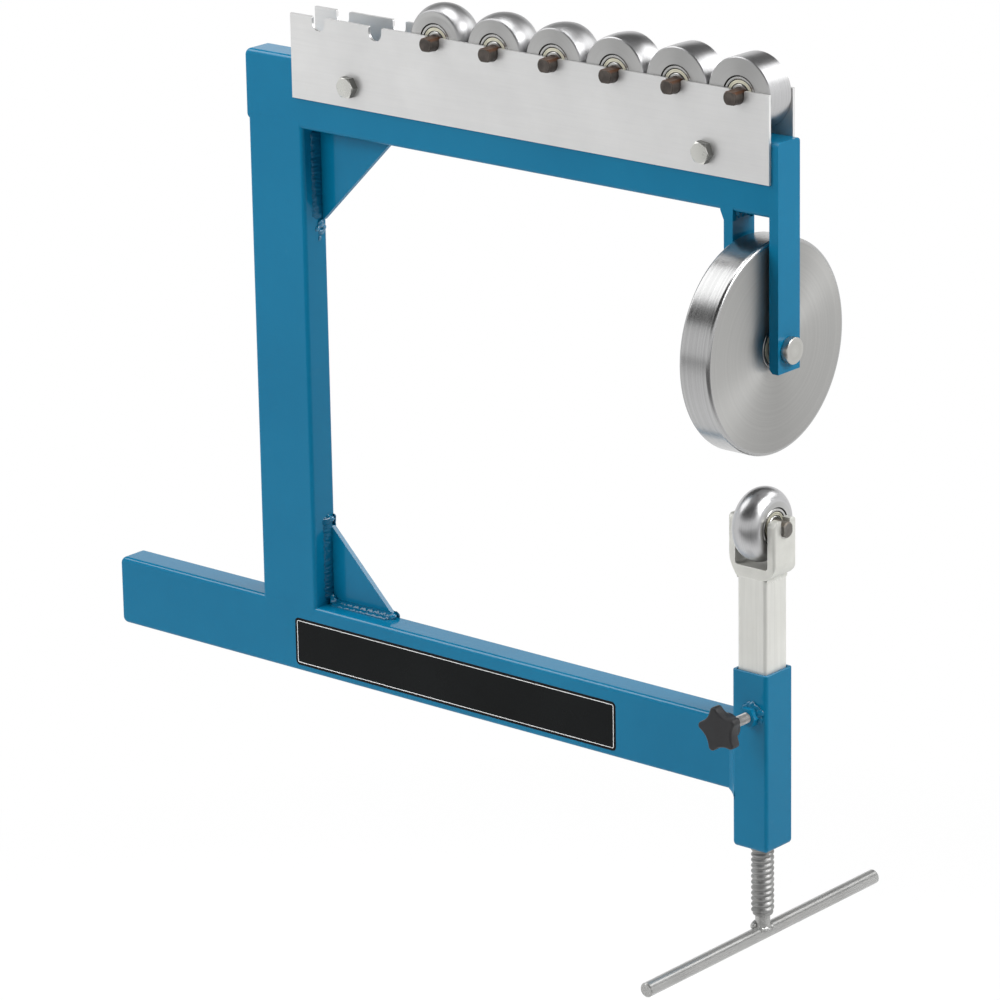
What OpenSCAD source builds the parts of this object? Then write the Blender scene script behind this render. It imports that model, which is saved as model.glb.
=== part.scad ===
// Bench english wheel: a welded tube C-frame with a large upper wheel in a fork,
// a height-adjustable post with a yoke for the lower anvil, and a slotted rack
// on the top arm that stores the other crowned anvils.
// X runs along the machine towards the wheels, Y across it, Z up.
// Origin: underside of the base rail, under the middle of the column.

/* [Frame tube] */
// Tall side of the rectangular frame tube
tube_h = 70; // [56:1:90]
// Narrow side of the rectangular frame tube
tube_w = 32; // [28:1:44]
// Wall of the frame tube
tube_t = 3; // [2:0.5:3.5]
// Outer corner radius of the frame tube
tube_r = 4; // [3:0.5:6]

/* [Frame] */
// Length of the rail behind the column
rail_tail = 195; // [120:5:300]
// Clear height between the base rail and the top arm
throat_h = 482; // [460:2:600]
// Depth from the column to the middle plane of the wheels
throat_d = 537; // [520:1:700]
// Thickness of the welded end caps of the tubes
cap_t = 5; // [3:0.5:8]
// Rounding of the end caps' outer edges
cap_r = 4.5; // [2:0.5:6]
// How far the arm's end cap stands behind the column
arm_overhang = 1.5; // [0:0.5:10]
// Leg length of the gusset under the top arm
upper_gusset_leg = 93; // [50:1:130]
// Leg length of the gusset on the base rail
lower_gusset_leg = 79.5; // [50:0.5:130]
// Thickness of the gusset plates
gusset_t = 5; // [3:0.5:8]
// Offset of the gusset plates from the middle of the tubes to the far side
gusset_offset = 10; // [-10:0.5:10]
// Clipped corner of a gusset that clears the weld of the tubes
gusset_clip = 9; // [4:1:16]
// Blunt nose at each tip of a gusset
gusset_nose = 3; // [1:0.5:6]

/* [Fork] */
// Width of the two flat bars of the fork
strap_w = 32; // [28:1:44]
// Thickness of the two flat bars of the fork
strap_t = 10; // [6:0.5:14]
// Clear gap between the two bars
fork_gap = 41; // [38:0.5:60]
// Depth of the wheel axle below the top arm
axle_drop = 122.7; // [108:0.1:140]
// Length of the bars below the axle
strap_tail = 20.3; // [16:0.1:40]
// Chamfer on the lower edge of the bars that faces the wheel
strap_chamfer = 3.5; // [1:0.5:5]
// Radius of the front bar's upper corners
strap_top_r = 4; // [1:0.5:6]

/* [Upper wheel] */
// Diameter of the upper wheel
wheel_d = 200; // [160:1:210]
// Width of the upper wheel
wheel_w = 34; // [30:0.5:36]
// Rounding of the wheel's rim edges
wheel_edge_r = 4; // [1:0.5:6]
// Diameter of the axle's flat round head
axle_head_d = 25; // [21:0.5:30]
// Thickness of the axle's head
axle_head_t = 7; // [4:0.5:10]
// Chamfer round the axle's head
axle_head_chamfer = 1; // [0.5:0.25:1.5]
// Thickness of the circlip on the axle's rear end
axle_clip_t = 1.2; // [1:0.1:2]
// Width of the circlip's ring
axle_clip_w = 3; // [2:0.25:4]
// Depth of the circlip's groove
clip_groove = 0.6; // [0.4:0.1:1]
// Free end of the axle behind its circlip
axle_tail = 2.5; // [1:0.5:6]

/* [Wheel bearing] */
// Bore of the wheel's ball bearings
wheel_bearing_bore = 17; // [15:1:20]
// Outer diameter of the wheel's ball bearings
wheel_bearing_od = 40; // [38:1:47]
// Width of the wheel's ball bearings
wheel_bearing_w = 12; // [9:0.5:14]

/* [Anvil bearing] */
// Bore of the anvils' ball bearings, which is also the axle's diameter
anvil_bearing_bore = 15; // [12:1:15]
// Outer diameter of the anvils' ball bearings
anvil_bearing_od = 35; // [32:1:36]
// Width of the anvils' ball bearings
anvil_bearing_w = 11; // [9:0.5:12]

/* [Bearing details] */
// Thickness of the bearings' races
race_t = 2.8; // [2:0.1:3.2]
// Thickness of the bearings' pressed shields
shield_t = 0.8; // [0.5:0.1:1.2]
// Depth of the shields below the races' faces
shield_sink = 0.4; // [0.2:0.1:1]
// Depth of the bearings below the faces of a wheel or anvil
bearing_sink = 0.5; // [0.2:0.1:1.5]
// Height of the land between the two bearings of a wheel or anvil
land_h = 3; // [2:0.25:4]
// Wall of the spacers on the wheel axle
spacer_t = 3; // [2:0.25:4]

/* [Anvils] */
// Diameter of the lower anvils over the crown
anvil_d = 70; // [62:0.5:70]
// Width of the lower anvils
anvil_w = 31; // [27:0.5:31]
// Chamfer between an anvil's face and its tread
anvil_chamfer = 1; // [0.5:0.25:2]
// Crown radius of the working anvil in the yoke
working_crown = 16.5; // [16.5:0.5:2000]
// Crown radii of the stored anvils, from the column to the wheel
stored_crowns = [25, 35, 46, 84, 250, 2000];
// Length of an anvil's axle
axle_len = 60; // [58:0.5:70]
// Width across the two flats of an axle's ends
axle_flats = 12; // [10:0.5:13]
// Chamfer on an axle's ends
axle_chamfer = 1; // [0.5:0.25:2]
// Height of the axle's shoulder between the bearings
shoulder_h = 2; // [1:0.25:2.5]

/* [Rack] */
// Thickness of the rack plates
plate_t = 3; // [2:0.5:4]
// Height of the rack plates above the top arm
plate_rise = 43; // [42:0.5:60]
// Depth to which the rack plates lap the top arm
plate_lap = 39; // [30:1:50]
// Plate left beyond the first and the last slot
plate_end = 35.5; // [20:0.5:50]
// Distance between neighbouring slots
slot_pitch = 71; // [71:0.5:74]
// Width of a slot
slot_w = 16; // [16:0.25:20]
// Depth of a slot
slot_depth = 13.5; // [12:0.25:16]
// Rounding of a slot's mouth
slot_lip = 1.5; // [0.5:0.25:3]
// Front end of the rack plates past the fork's inner face
plate_front = 2; // [0:0.5:8]
// Distance of the rack bolts from the plates' ends
bolt_inset = 72.6; // [40:0.2:120]
// Depth of the rack bolts below the arm's top
bolt_depth = 18.5; // [14:0.5:26]
// Thread diameter of the rack bolts
bolt_d = 12; // [8:1:12]
// Width across the flats of the rack bolts' heads and nuts
bolt_af = 19; // [17:1:22]
// Height of the rack bolts' heads
bolt_head_h = 7.5; // [5:0.5:9]
// Height of the rack bolts' nuts
bolt_nut_h = 10; // [8:0.5:12]
// Bolt end past its nut
bolt_tail = 3; // [1:0.5:8]

/* [Post] */
// Side of the square sleeve at the rail's front end
sleeve_w = 40; // [40:0.5:50]
// Wall of the sleeve
sleeve_t = 3; // [2:0.25:3.5]
// Outer corner radius of the sleeve and of the post
sleeve_r = 3.5; // [2:0.5:3.75]
// Rounding of the sleeve's lower edges
sleeve_foot_r = 2.7; // [1:0.1:3]
// Height of the sleeve above the base rail
sleeve_rise = 51.3; // [30:0.1:60]
// Depth of the sleeve below the base rail
sleeve_drop = 52.2; // [40:0.1:60]
// Height of the post's foot above the screw's fixed nut
post_reserve = 48; // [46:0.5:60]
// Wall of the sliding post
post_t = 3; // [2:0.25:4]
// Thickness of the thrust foot in the post's lower end
foot_t = 10; // [6:0.5:16]

/* [Yoke] */
// Clear gap between the working anvil and the upper wheel
work_gap = 35; // [35:0.5:60]
// Clear width between the yoke's legs
yoke_gap = 37; // [35:0.5:40]
// Thickness of the yoke's legs
yoke_leg_t = 8; // [6:0.5:10]
// Thickness of the yoke's base
yoke_base_t = 11; // [8:0.5:16]
// Width of the yoke across the machine
yoke_w = 33; // [28:0.5:36]
// Gap between the anvil and the yoke's floor
yoke_floor_gap = 2.3; // [1:0.1:8]
// Height of the yoke's legs above the anvil's axle
yoke_rise = 9.2; // [8:0.1:14]
// Radius of the yoke's front shoulder
yoke_shoulder_r = 16; // [8:1:18]
// Height of the yoke's long rear shoulder
yoke_heel = 28; // [14:1:34]
// Radius of the yoke's inner corners
yoke_inner_r = 3; // [1:0.5:5]
// Radius of the legs' upper corners
yoke_top_r = 6; // [2:0.5:7]
// Rounding of the yoke's upright edges
yoke_edge_r = 2.5; // [1:0.5:3.5]

/* [Adjuster] */
// Diameter of the lifting screw over its thread
screw_d = 21.6; // [18:0.2:24]
// Length of the lifting screw's thread
screw_len = 139; // [126:1:150]
// Height of the screw's fixed nut in the sleeve
screw_nut_h = 20; // [12:1:24]
// Depth of the fixed nut above the sleeve's lower end
screw_nut_sink = 2; // [0.5:0.5:6]
// Diameter of the screw's nose in the post's foot
nose_d = 12; // [8:0.5:14]
// Diameter of the plain stub under the thread
stub_d = 14; // [10:0.5:17]
// Length of the stub down to the tee bar's axis
stub_len = 19; // [16:0.5:40]
// Diameter of the tee bar
bar_d = 14; // [14:0.5:17]
// Length of the tee bar
bar_len = 350; // [200:5:400]
// Chamfer on the tee bar's ends
bar_chamfer = 1.5; // [0.5:0.25:3]

/* [Lock] */
// Height of the lock stud above the rail's underside
lock_z = 81; // [76:0.5:105]
// Offset of the lock stud from the post's middle towards the front
lock_shift = 3.5; // [-4:0.5:4]
// Diameter of the lock stud
stud_d = 10; // [8:0.5:12]
// Width across the flats of the nut welded to the sleeve
lock_nut_af = 17; // [17:0.5:22]
// Height of the nut welded to the sleeve
lock_nut_h = 9; // [6:0.5:12]
// Free length of the stud between the nut and the knob
stud_reach = 27; // [12:0.5:30]
// Diameter of the star knob over its lobes
knob_d = 44; // [36:0.5:50]
// Thickness of the star knob
knob_t = 11; // [10:0.5:16]
// Number of lobes of the star knob
knob_lobes = 5; // [5:1:8]
// Angle of the star knob's first lobe above the machine's long axis
knob_turn = 33; // [0:1:72]
// Radius of the lobes' tips
knob_lobe_r = 4; // [3:0.25:5]
// Depth of the hollows between the lobes
knob_hollow = 5; // [4.75:0.25:6.5]
// Diameter of the hub behind the star knob
knob_hub_d = 19; // [17:0.5:24]
// Length of the hub behind the star knob
knob_hub_h = 6; // [3:0.5:10]
// Depth to which the stud enters the knob
stud_grip = 13; // [8:0.5:14]

/* [Fits] */
// Radial clearance of a screw in its nut or of a turning pin in its hole
turn_gap = 0.08; // [0.02:0.01:0.1]
// Clearance round pieces that are pressed or welded in place
seat_gap = 0.02; // [0.01:0.01:0.1]
// Clearance round a bolt in a drilled hole
drill_gap = 0.25; // [0.1:0.05:0.5]
// Clearance between parts that pass or seat loosely
run_gap = 0.3; // [0.2:0.05:0.4]
// Sliding gap between the post and its sleeve on each side
slide_gap = 0.5; // [0.3:0.05:0.6]

/* [Hidden] */
$fn = 96;
HEX = 6;
BIG = 400;

// Frame levels and stations
arm_z0 = tube_h + throat_h;
arm_z1 = arm_z0 + tube_h;
column_front = tube_h / 2;
work_x = column_front + throat_d;
rail_x0 = -column_front - rail_tail;
arm_x0 = -column_front - arm_overhang;
inner_r = max(tube_r - tube_t, 0.5);

// Fork and upper wheel
strap_front_x = work_x + fork_gap / 2;
wheel_z = arm_z0 - axle_drop;
wheel_race_x = wheel_w / 2 - bearing_sink;

// Anvils
anvil_z = wheel_z - wheel_d / 2 - work_gap - anvil_d / 2;
anvil_race_x = anvil_w / 2 - bearing_sink;
axle_r = anvil_bearing_bore / 2 - seat_gap;
STORED = len(stored_crowns);

// Rack
slot_count = 8;
first_filled = slot_count - STORED;
plate_z0 = arm_z1 - plate_lap;
plate_z1 = arm_z1 + plate_rise;
plate_x1 = strap_front_x + plate_front;
plate_x0 = plate_x1 - 2 * plate_end - (slot_count - 1) * slot_pitch;
plate_y = tube_w / 2;
plate_out = plate_y + plate_t;
slot_arc_z = plate_z1 - slot_depth + slot_w / 2;
rest_z = slot_arc_z - (slot_w / 2 - axle_r - run_gap);
bolt_z = arm_z1 - bolt_depth;
BOLT_XS = [plate_x0 + bolt_inset, plate_x1 - bolt_inset];

// Sleeve, post and yoke
sleeve_z0 = -sleeve_drop;
sleeve_z1 = tube_h + sleeve_rise;
sleeve_in = sleeve_w - 2 * sleeve_t;
sleeve_end_r = min(sleeve_foot_r, 0.9 * sleeve_t);
post_w = sleeve_in - 2 * slide_gap;
post_in = post_w - 2 * post_t;
yoke_floor = anvil_z - anvil_d / 2 - yoke_floor_gap;
yoke_z0 = yoke_floor - yoke_base_t;
yoke_z1 = anvil_z + yoke_rise;
yoke_out = yoke_gap + 2 * yoke_leg_t;
nut_z0 = sleeve_z0 + screw_nut_sink;
post_z0 = nut_z0 + screw_nut_h + post_reserve;
post_len = yoke_z0 - post_z0;
plug_r = 1;

// Adjuster
screw_z1 = post_z0 - run_gap;
screw_z0 = screw_z1 - screw_len;
bar_z = screw_z0 - stub_len;
nose_clip_z = post_z0 + foot_t + run_gap;
nose_z1 = nose_clip_z + axle_clip_t + axle_tail;

// Lock, from the post outwards
lock_x = work_x + lock_shift;
stud_y1 = -post_w / 2 - run_gap;
lock_nut_y = -sleeve_w / 2 - lock_nut_h;
hub_y = lock_nut_y - stud_reach;
knob_y1 = hub_y - knob_hub_h;
knob_y0 = knob_y1 - knob_t;
stud_y0 = hub_y - stud_grip;

// Colours
PAINT = [0.09, 0.40, 0.56];
SHEET = [0.82, 0.82, 0.82];
ZINC = [0.78, 0.78, 0.74];
STEEL = [0.68, 0.68, 0.67];
POLISHED = [0.80, 0.80, 0.81];
OXIDE = [0.26, 0.23, 0.21];
CREAM = [0.84, 0.82, 0.72];
PLASTIC = [0.18, 0.18, 0.19];

STORED_NODES = [for (k = [1:STORED], part = ["", "_axle", "_inner_races", "_outer_races"])
    str("anvil_", k, part)];

// Flat outlines

module rounded_rect(w, h, r) {
    square([w - 2 * r, h], center = true);
    square([w, h - 2 * r], center = true);
    for (x = [-1, 1], y = [-1, 1])
        translate([x * (w / 2 - r), y * (h / 2 - r)]) circle(r);
}

module tube_outline(w, h, t, r) {
    difference() {
        rounded_rect(w, h, r);
        rounded_rect(w - 2 * t, h - 2 * t, max(r - t, 0.5));
    }
}

// Directions: a shape drawn along Z is laid along X or Y

module along_x() {
    rotate([90, 0, 90]) children();
}

module along_y() {
    rotate([-90, 0, 0]) children();
}

// An outline with its width across Y and its height up Z, run along X
module run_x(x0, x1, z) {
    translate([x0, 0, z]) along_x() linear_extrude(x1 - x0) children();
}

module ring(r_in, r_out, z0, z1) {
    rotate_extrude() translate([r_in, z0]) square([r_out - r_in, z1 - z0]);
}

module hex_prism(af, h) {
    cylinder(h = h, d = af / cos(30), $fn = HEX);
}

// Frame

module frame_envelope(x0, x1, z0) {
    run_x(x0, x1, z0 + tube_h / 2) rounded_rect(tube_w, tube_h, tube_r);
}

module frame_tube(x0, x1, z0) {
    run_x(x0, x1, z0 + tube_h / 2) tube_outline(tube_w, tube_h, tube_t, tube_r);
}

// A plate welded over a tube's rear end, with its outer edges ground round
module end_cap(x0, z0) {
    reach = 2 * (cap_t + cap_r);
    intersection() {
        frame_envelope(x0, x0 + cap_t, z0);
        translate([x0 + reach / 2, 0, z0 + tube_h / 2])
            rotate([90, 0, 0])
                linear_extrude(2 * tube_w, center = true) rounded_rect(reach, tube_h, cap_r);
        translate([x0 + reach / 2, 0, z0])
            linear_extrude(tube_h) rounded_rect(reach, tube_w, cap_r);
    }
}

module base_rail() {
    color(PAINT) frame_tube(rail_x0 + cap_t, work_x - sleeve_w / 2, 0);
}

module rail_end_cap() {
    color(PAINT) end_cap(rail_x0, 0);
}

// The column is coped at both ends to sit on the rounded corners of the rail and under those of the arm
module column() {
    color(PAINT) difference() {
        translate([0, 0, tube_h - tube_r])
            linear_extrude(throat_h + 2 * tube_r) tube_outline(tube_h, tube_w, tube_t, tube_r);
        frame_envelope(-BIG, BIG, 0);
        frame_envelope(-BIG, BIG, arm_z0);
    }
}

module top_arm() {
    color(PAINT) difference() {
        frame_tube(arm_x0 + cap_t, strap_front_x, arm_z0);
        for (x = BOLT_XS)
            translate([x, 0, bolt_z]) rotate([90, 0, 0])
                cylinder(h = 2 * tube_w, r = bolt_d / 2 + drill_gap, center = true);
    }
}

module arm_end_cap() {
    color(PAINT) end_cap(arm_x0, arm_z0);
}

module gusset(leg) {
    translate([0, gusset_t / 2, 0]) rotate([90, 0, 0]) linear_extrude(gusset_t)
        polygon([[gusset_clip, 0], [leg, 0], [leg, gusset_nose],
                 [gusset_nose, leg], [0, leg], [0, gusset_clip]]);
}

module upper_gusset() {
    color(PAINT) translate([column_front, gusset_offset, arm_z0]) mirror([0, 0, 1]) gusset(upper_gusset_leg);
}

module lower_gusset() {
    color(PAINT) translate([column_front, gusset_offset, tube_h]) gusset(lower_gusset_leg);
}

// Fork: two flat bars carry the wheel's axle

// Drawn with its wheel side at X = 0 and its thickness along +X
module strap(h) {
    difference() {
        translate([0, strap_w / 2, 0]) rotate([90, 0, 0]) linear_extrude(strap_w)
            polygon([[strap_chamfer, -strap_tail], [strap_t, -strap_tail], [strap_t, h], [0, h],
                     [0, strap_chamfer - strap_tail]]);
        translate([strap_t / 2, 0, 0]) along_x()
            cylinder(h = 2 * strap_t, r = wheel_bearing_bore / 2 + seat_gap, center = true);
    }
}

module front_strap() {
    top = axle_drop + tube_h;
    color(PAINT) translate([strap_front_x, 0, wheel_z]) intersection() {
        strap(top);
        run_x(-strap_t, 2 * strap_t, 0) rounded_rect(strap_w, 2 * top, strap_top_r);
    }
}

module rear_strap() {
    color(PAINT) translate([work_x - fork_gap / 2, 0, wheel_z]) mirror([1, 0, 0]) strap(axle_drop);
}

// Ball bearings in pairs: the races of both bearings, seen from the middle of the wheel or anvil

module inner_races(bore, od, w, edge) {
    for (side = [-1, 1])
        translate([0, 0, side * (edge - w / 2)])
            ring(bore / 2, bore / 2 + race_t, -w / 2, w / 2);
}

// An outer race carries a pressed shield at each side, which stays clear of the inner race
module outer_races(bore, od, w, edge) {
    shield_r = bore / 2 + race_t + run_gap;
    for (side = [-1, 1])
        translate([0, 0, side * (edge - w / 2)]) rotate_extrude() {
            translate([od / 2 - race_t, -w / 2]) square([race_t - seat_gap, w]);
            for (z = [shield_sink - w / 2, w / 2 - shield_sink - shield_t])
                translate([shield_r, z]) square([od / 2 - race_t - shield_r + seat_gap, shield_t]);
        }
}

// Half section of a wheel or anvil: a seat for a bearing at each side and a land between the two
module bored_section(d, w, bearing_od, bearing_w) {
    seat = bearing_w + bearing_sink;
    difference() {
        translate([0, -w / 2]) square([d / 2, w]);
        translate([0, -w]) square([bearing_od / 2 - land_h, 2 * w]);
        for (z = [-w / 2, w / 2 - seat])
            translate([0, z]) square([bearing_od / 2, seat]);
    }
}

// Upper wheel and its axle

module at_wheel() {
    translate([work_x, 0, wheel_z]) along_x() children();
}

module upper_wheel() {
    color(POLISHED) at_wheel() rotate_extrude() intersection() {
        bored_section(wheel_d, wheel_w, wheel_bearing_od, wheel_bearing_w);
        rounded_rect(wheel_d, wheel_w, wheel_edge_r);
    }
}

module wheel_outer_races() {
    color(CREAM) at_wheel()
        outer_races(wheel_bearing_bore, wheel_bearing_od, wheel_bearing_w, wheel_race_x);
}

module wheel_inner_races() {
    color(STEEL) at_wheel()
        inner_races(wheel_bearing_bore, wheel_bearing_od, wheel_bearing_w, wheel_race_x);
}

// A distance tube between the inner races, and a collar from each race to its fork bar
module wheel_spacers() {
    r_in = wheel_bearing_bore / 2;
    tube_half = wheel_race_x - wheel_bearing_w;
    color(STEEL) at_wheel() {
        ring(r_in, r_in + spacer_t, -tube_half, tube_half);
        ring(r_in, r_in + spacer_t, wheel_race_x, fork_gap / 2);
        ring(r_in, r_in + spacer_t, -fork_gap / 2, -wheel_race_x);
    }
}

module wheel_axle() {
    r = wheel_bearing_bore / 2 - seat_gap;
    front = fork_gap / 2 + strap_t;
    clip_z = -front - seat_gap - axle_clip_t;
    head_r = axle_head_d / 2;
    color(STEEL) at_wheel() {
        difference() {
            translate([0, 0, clip_z - axle_tail]) cylinder(h = front - clip_z + axle_tail, r = r);
            ring(r - clip_groove, 2 * r, clip_z - seat_gap, clip_z + axle_clip_t + seat_gap);
        }
        translate([0, 0, front]) {
            cylinder(h = axle_head_t - axle_head_chamfer, r = head_r);
            translate([0, 0, axle_head_t - axle_head_chamfer])
                cylinder(h = axle_head_chamfer, r1 = head_r, r2 = head_r - axle_head_chamfer);
        }
    }
}

// A circlip is an open ring that snaps into a groove
module circlip(r, z) {
    slit = r / 2;
    translate([0, 0, z]) difference() {
        ring(r - clip_groove + seat_gap, r + axle_clip_w, 0, axle_clip_t);
        translate([-slit / 2, 0, -axle_clip_t]) cube([slit, 2 * r + axle_clip_w, 3 * axle_clip_t]);
    }
}

module axle_circlip() {
    r = wheel_bearing_bore / 2 - seat_gap;
    color(STEEL) at_wheel() circlip(r, -fork_gap / 2 - strap_t - seat_gap - axle_clip_t);
}

// Anvils: a crowned roller on two bearings on a fixed axle with flatted ends

module anvil_roller(crown) {
    color(POLISHED) rotate_extrude() intersection() {
        bored_section(anvil_d, anvil_w, anvil_bearing_od, anvil_bearing_w);
        translate([anvil_d / 2 - crown, 0]) circle(crown, $fn = 96 * ceil(crown / 100));
        anvil_chamfered();
    }
}

module anvil_chamfered() {
    polygon([[0, -anvil_w / 2], [anvil_d / 2 - anvil_chamfer, -anvil_w / 2],
             [anvil_d / 2, anvil_chamfer - anvil_w / 2], [anvil_d / 2, anvil_w / 2 - anvil_chamfer],
             [anvil_d / 2 - anvil_chamfer, anvil_w / 2], [0, anvil_w / 2]]);
}

module anvil_outer_races() {
    color(CREAM) outer_races(anvil_bearing_bore, anvil_bearing_od, anvil_bearing_w, anvil_race_x);
}

module anvil_inner_races() {
    color(STEEL) inner_races(anvil_bearing_bore, anvil_bearing_od, anvil_bearing_w, anvil_race_x);
}

// The axle's flats face along X; its shoulder keeps the inner races apart
module anvil_axle() {
    half = axle_len / 2;
    shoulder = anvil_race_x - anvil_bearing_w;
    color(OXIDE) difference() {
        rotate_extrude() {
            polygon([[0, -half], [axle_r - axle_chamfer, -half], [axle_r, axle_chamfer - half],
                     [axle_r, half - axle_chamfer], [axle_r - axle_chamfer, half], [0, half]]);
            translate([0, -shoulder]) square([axle_r + shoulder_h, 2 * shoulder]);
        }
        for (side = [-1, 1], end = [-1, 1])
            translate([side * (axle_flats / 2 + axle_r), 0, end * (anvil_w / 2 + half / 2)])
                cube([2 * axle_r, 4 * axle_r, half], center = true);
    }
}

// Post: sleeve on the rail, sliding tube with a thrust foot, and the yoke

module post_sleeve() {
    tall = sleeve_z1 - sleeve_z0;
    color(PAINT) difference() {
        intersection() {
            translate([work_x, 0, sleeve_z0]) linear_extrude(tall)
                tube_outline(sleeve_w, sleeve_w, sleeve_t, sleeve_r);
            run_x(work_x - sleeve_w, work_x + sleeve_w, sleeve_z1)
                rounded_rect(sleeve_w, 2 * tall, sleeve_end_r);
            translate([work_x, 0, sleeve_z1]) rotate([90, 0, 0])
                linear_extrude(2 * sleeve_w, center = true) rounded_rect(sleeve_w, 2 * tall, sleeve_end_r);
        }
        translate([lock_x, -sleeve_w / 2 - sleeve_t, lock_z]) along_y()
            cylinder(h = 3 * sleeve_t, r = stud_d / 2 + run_gap);
    }
}

module adjuster_nut() {
    side = sleeve_in - 2 * seat_gap;
    color(STEEL) translate([work_x, 0, nut_z0]) difference() {
        linear_extrude(screw_nut_h) rounded_rect(side, side, plug_r);
        translate([0, 0, -screw_nut_h]) cylinder(h = 3 * screw_nut_h, r = screw_d / 2 + turn_gap);
    }
}

module post_tube() {
    color(ZINC) translate([work_x, 0, post_z0]) linear_extrude(post_len)
        tube_outline(post_w, post_w, post_t, sleeve_r);
}

module post_foot() {
    side = post_in - 2 * seat_gap;
    color(ZINC) translate([work_x, 0, post_z0]) difference() {
        linear_extrude(foot_t) rounded_rect(side, side, plug_r);
        translate([0, 0, -foot_t]) cylinder(h = 3 * foot_t, r = nose_d / 2 + turn_gap);
    }
}

// Outline of the yoke seen along Y: a round shoulder in front, a long sweep up from the post at the rear,
// and a U-shaped mouth
module yoke_outline() {
    h = yoke_z1 - yoke_z0;
    mouth = yoke_z1 - yoke_floor;
    step = (yoke_out - post_w) / 2;
    sweep_r = (step * step + yoke_heel * yoke_heel) / (2 * step);
    difference() {
        translate([-yoke_out / 2, 0]) square([yoke_out, h]);
        difference() {
            translate([-yoke_out, -h]) square([yoke_out / 2 + step, h + yoke_heel]);
            translate([sweep_r - yoke_out / 2, yoke_heel]) circle(sweep_r);
        }
        difference() {
            translate([yoke_out / 2 - yoke_shoulder_r, -h]) square([yoke_out, h + yoke_shoulder_r]);
            translate([yoke_out / 2 - yoke_shoulder_r, yoke_shoulder_r]) circle(yoke_shoulder_r);
        }
        translate([0, yoke_base_t + mouth]) rounded_rect(yoke_gap, 2 * mouth, yoke_inner_r);
    }
}

// Seat of an axle's flatted end: an upright slot with a round bottom
module yoke_slot() {
    w = axle_flats + 2 * run_gap;
    intersection() {
        circle(axle_r + seat_gap);
        square([w, 4 * axle_r], center = true);
    }
    translate([-w / 2, 0]) square([w, 4 * yoke_rise]);
}

module yoke() {
    h = yoke_z1 - yoke_z0;
    color(ZINC) difference() {
        intersection() {
            translate([work_x, 0, yoke_z0]) rotate([90, 0, 0])
                linear_extrude(2 * yoke_w, center = true) yoke_outline();
            translate([work_x, 0, yoke_z0 - h])
                linear_extrude(3 * h) rounded_rect(yoke_out, yoke_w, yoke_edge_r);
            run_x(work_x - yoke_out, work_x + yoke_out, yoke_z0)
                rounded_rect(yoke_w, 2 * h, yoke_top_r);
        }
        run_x(work_x - yoke_out, work_x + yoke_out, anvil_z) yoke_slot();
    }
}

module at_yoke() {
    translate([work_x, 0, anvil_z]) along_x() children();
}

module working_axle() {
    at_yoke() anvil_axle();
}

module working_inner_races() {
    at_yoke() anvil_inner_races();
}

module working_outer_races() {
    at_yoke() anvil_outer_races();
}

module working_anvil() {
    at_yoke() anvil_roller(working_crown);
}

// Adjuster: a lifting screw with a nose that turns in the post's foot, and a welded tee bar

module adjuster_screw() {
    nose_r = nose_d / 2;
    color(STEEL) translate([work_x, 0, 0]) difference() {
        union() {
            translate([0, 0, screw_z0]) cylinder(h = screw_len, r = screw_d / 2);
            translate([0, 0, screw_z1]) cylinder(h = nose_z1 - screw_z1, r = nose_r);
            translate([0, 0, bar_z]) cylinder(h = stub_len, r = stub_d / 2);
        }
        ring(nose_r - clip_groove, 2 * nose_r, nose_clip_z - seat_gap, nose_clip_z + axle_clip_t + seat_gap);
        translate([0, 0, bar_z]) rotate([90, 0, 0])
            cylinder(h = bar_len, r = bar_d / 2 + seat_gap, center = true);
    }
}

module screw_circlip() {
    color(STEEL) translate([work_x, 0, 0]) circlip(nose_d / 2, nose_clip_z);
}

module tee_bar() {
    r = bar_d / 2;
    half = bar_len / 2;
    color(STEEL) translate([work_x, 0, bar_z]) along_y() rotate_extrude()
        polygon([[0, -half], [r - bar_chamfer, -half], [r, bar_chamfer - half],
                 [r, half - bar_chamfer], [r - bar_chamfer, half], [0, half]]);
}

// Lock: a nut welded to the sleeve, a stud and a star knob

module lock_nut() {
    color(PAINT) translate([lock_x, lock_nut_y, lock_z]) along_y() difference() {
        hex_prism(lock_nut_af, lock_nut_h);
        translate([0, 0, -lock_nut_h]) cylinder(h = 3 * lock_nut_h, r = stud_d / 2 + turn_gap);
    }
}

module lock_stud() {
    color(STEEL) translate([lock_x, stud_y0, lock_z]) along_y() cylinder(h = stud_y1 - stud_y0, d = stud_d);
}

// The hollows are arcs that touch the lobes' arcs, so their centres follow from the lobes
module star_outline() {
    half = 180 / knob_lobes;
    reach = knob_d / 2 - knob_lobe_r;
    valley = knob_d / 2 - knob_hollow;
    rise = reach * sin(half);
    run = reach * cos(half);
    bend = valley - knob_lobe_r;
    hollow_at = (run * run + rise * rise - bend * bend) / (2 * (run - bend));
    difference() {
        polygon([for (k = [0:2 * knob_lobes - 1])
            (k % 2 == 0 ? reach : hollow_at) * [cos(k * half), sin(k * half)]]);
        for (k = [0:knob_lobes - 1])
            rotate((2 * k + 1) * half) translate([hollow_at, 0]) circle(hollow_at - valley);
    }
    for (k = [0:knob_lobes - 1])
        rotate(2 * k * half) translate([reach, 0]) circle(knob_lobe_r);
}

module lock_knob() {
    color(PLASTIC) translate([lock_x, knob_y0, lock_z]) along_y() difference() {
        union() {
            linear_extrude(knob_t) rotate(-knob_turn) star_outline();
            cylinder(h = knob_t + knob_hub_h, d = knob_hub_d);
        }
        translate([0, 0, knob_t + knob_hub_h - stud_grip - run_gap])
            cylinder(h = 2 * stud_grip, r = stud_d / 2 + turn_gap);
    }
}

// Rack: two slotted plates bolted to the sides of the top arm

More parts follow.
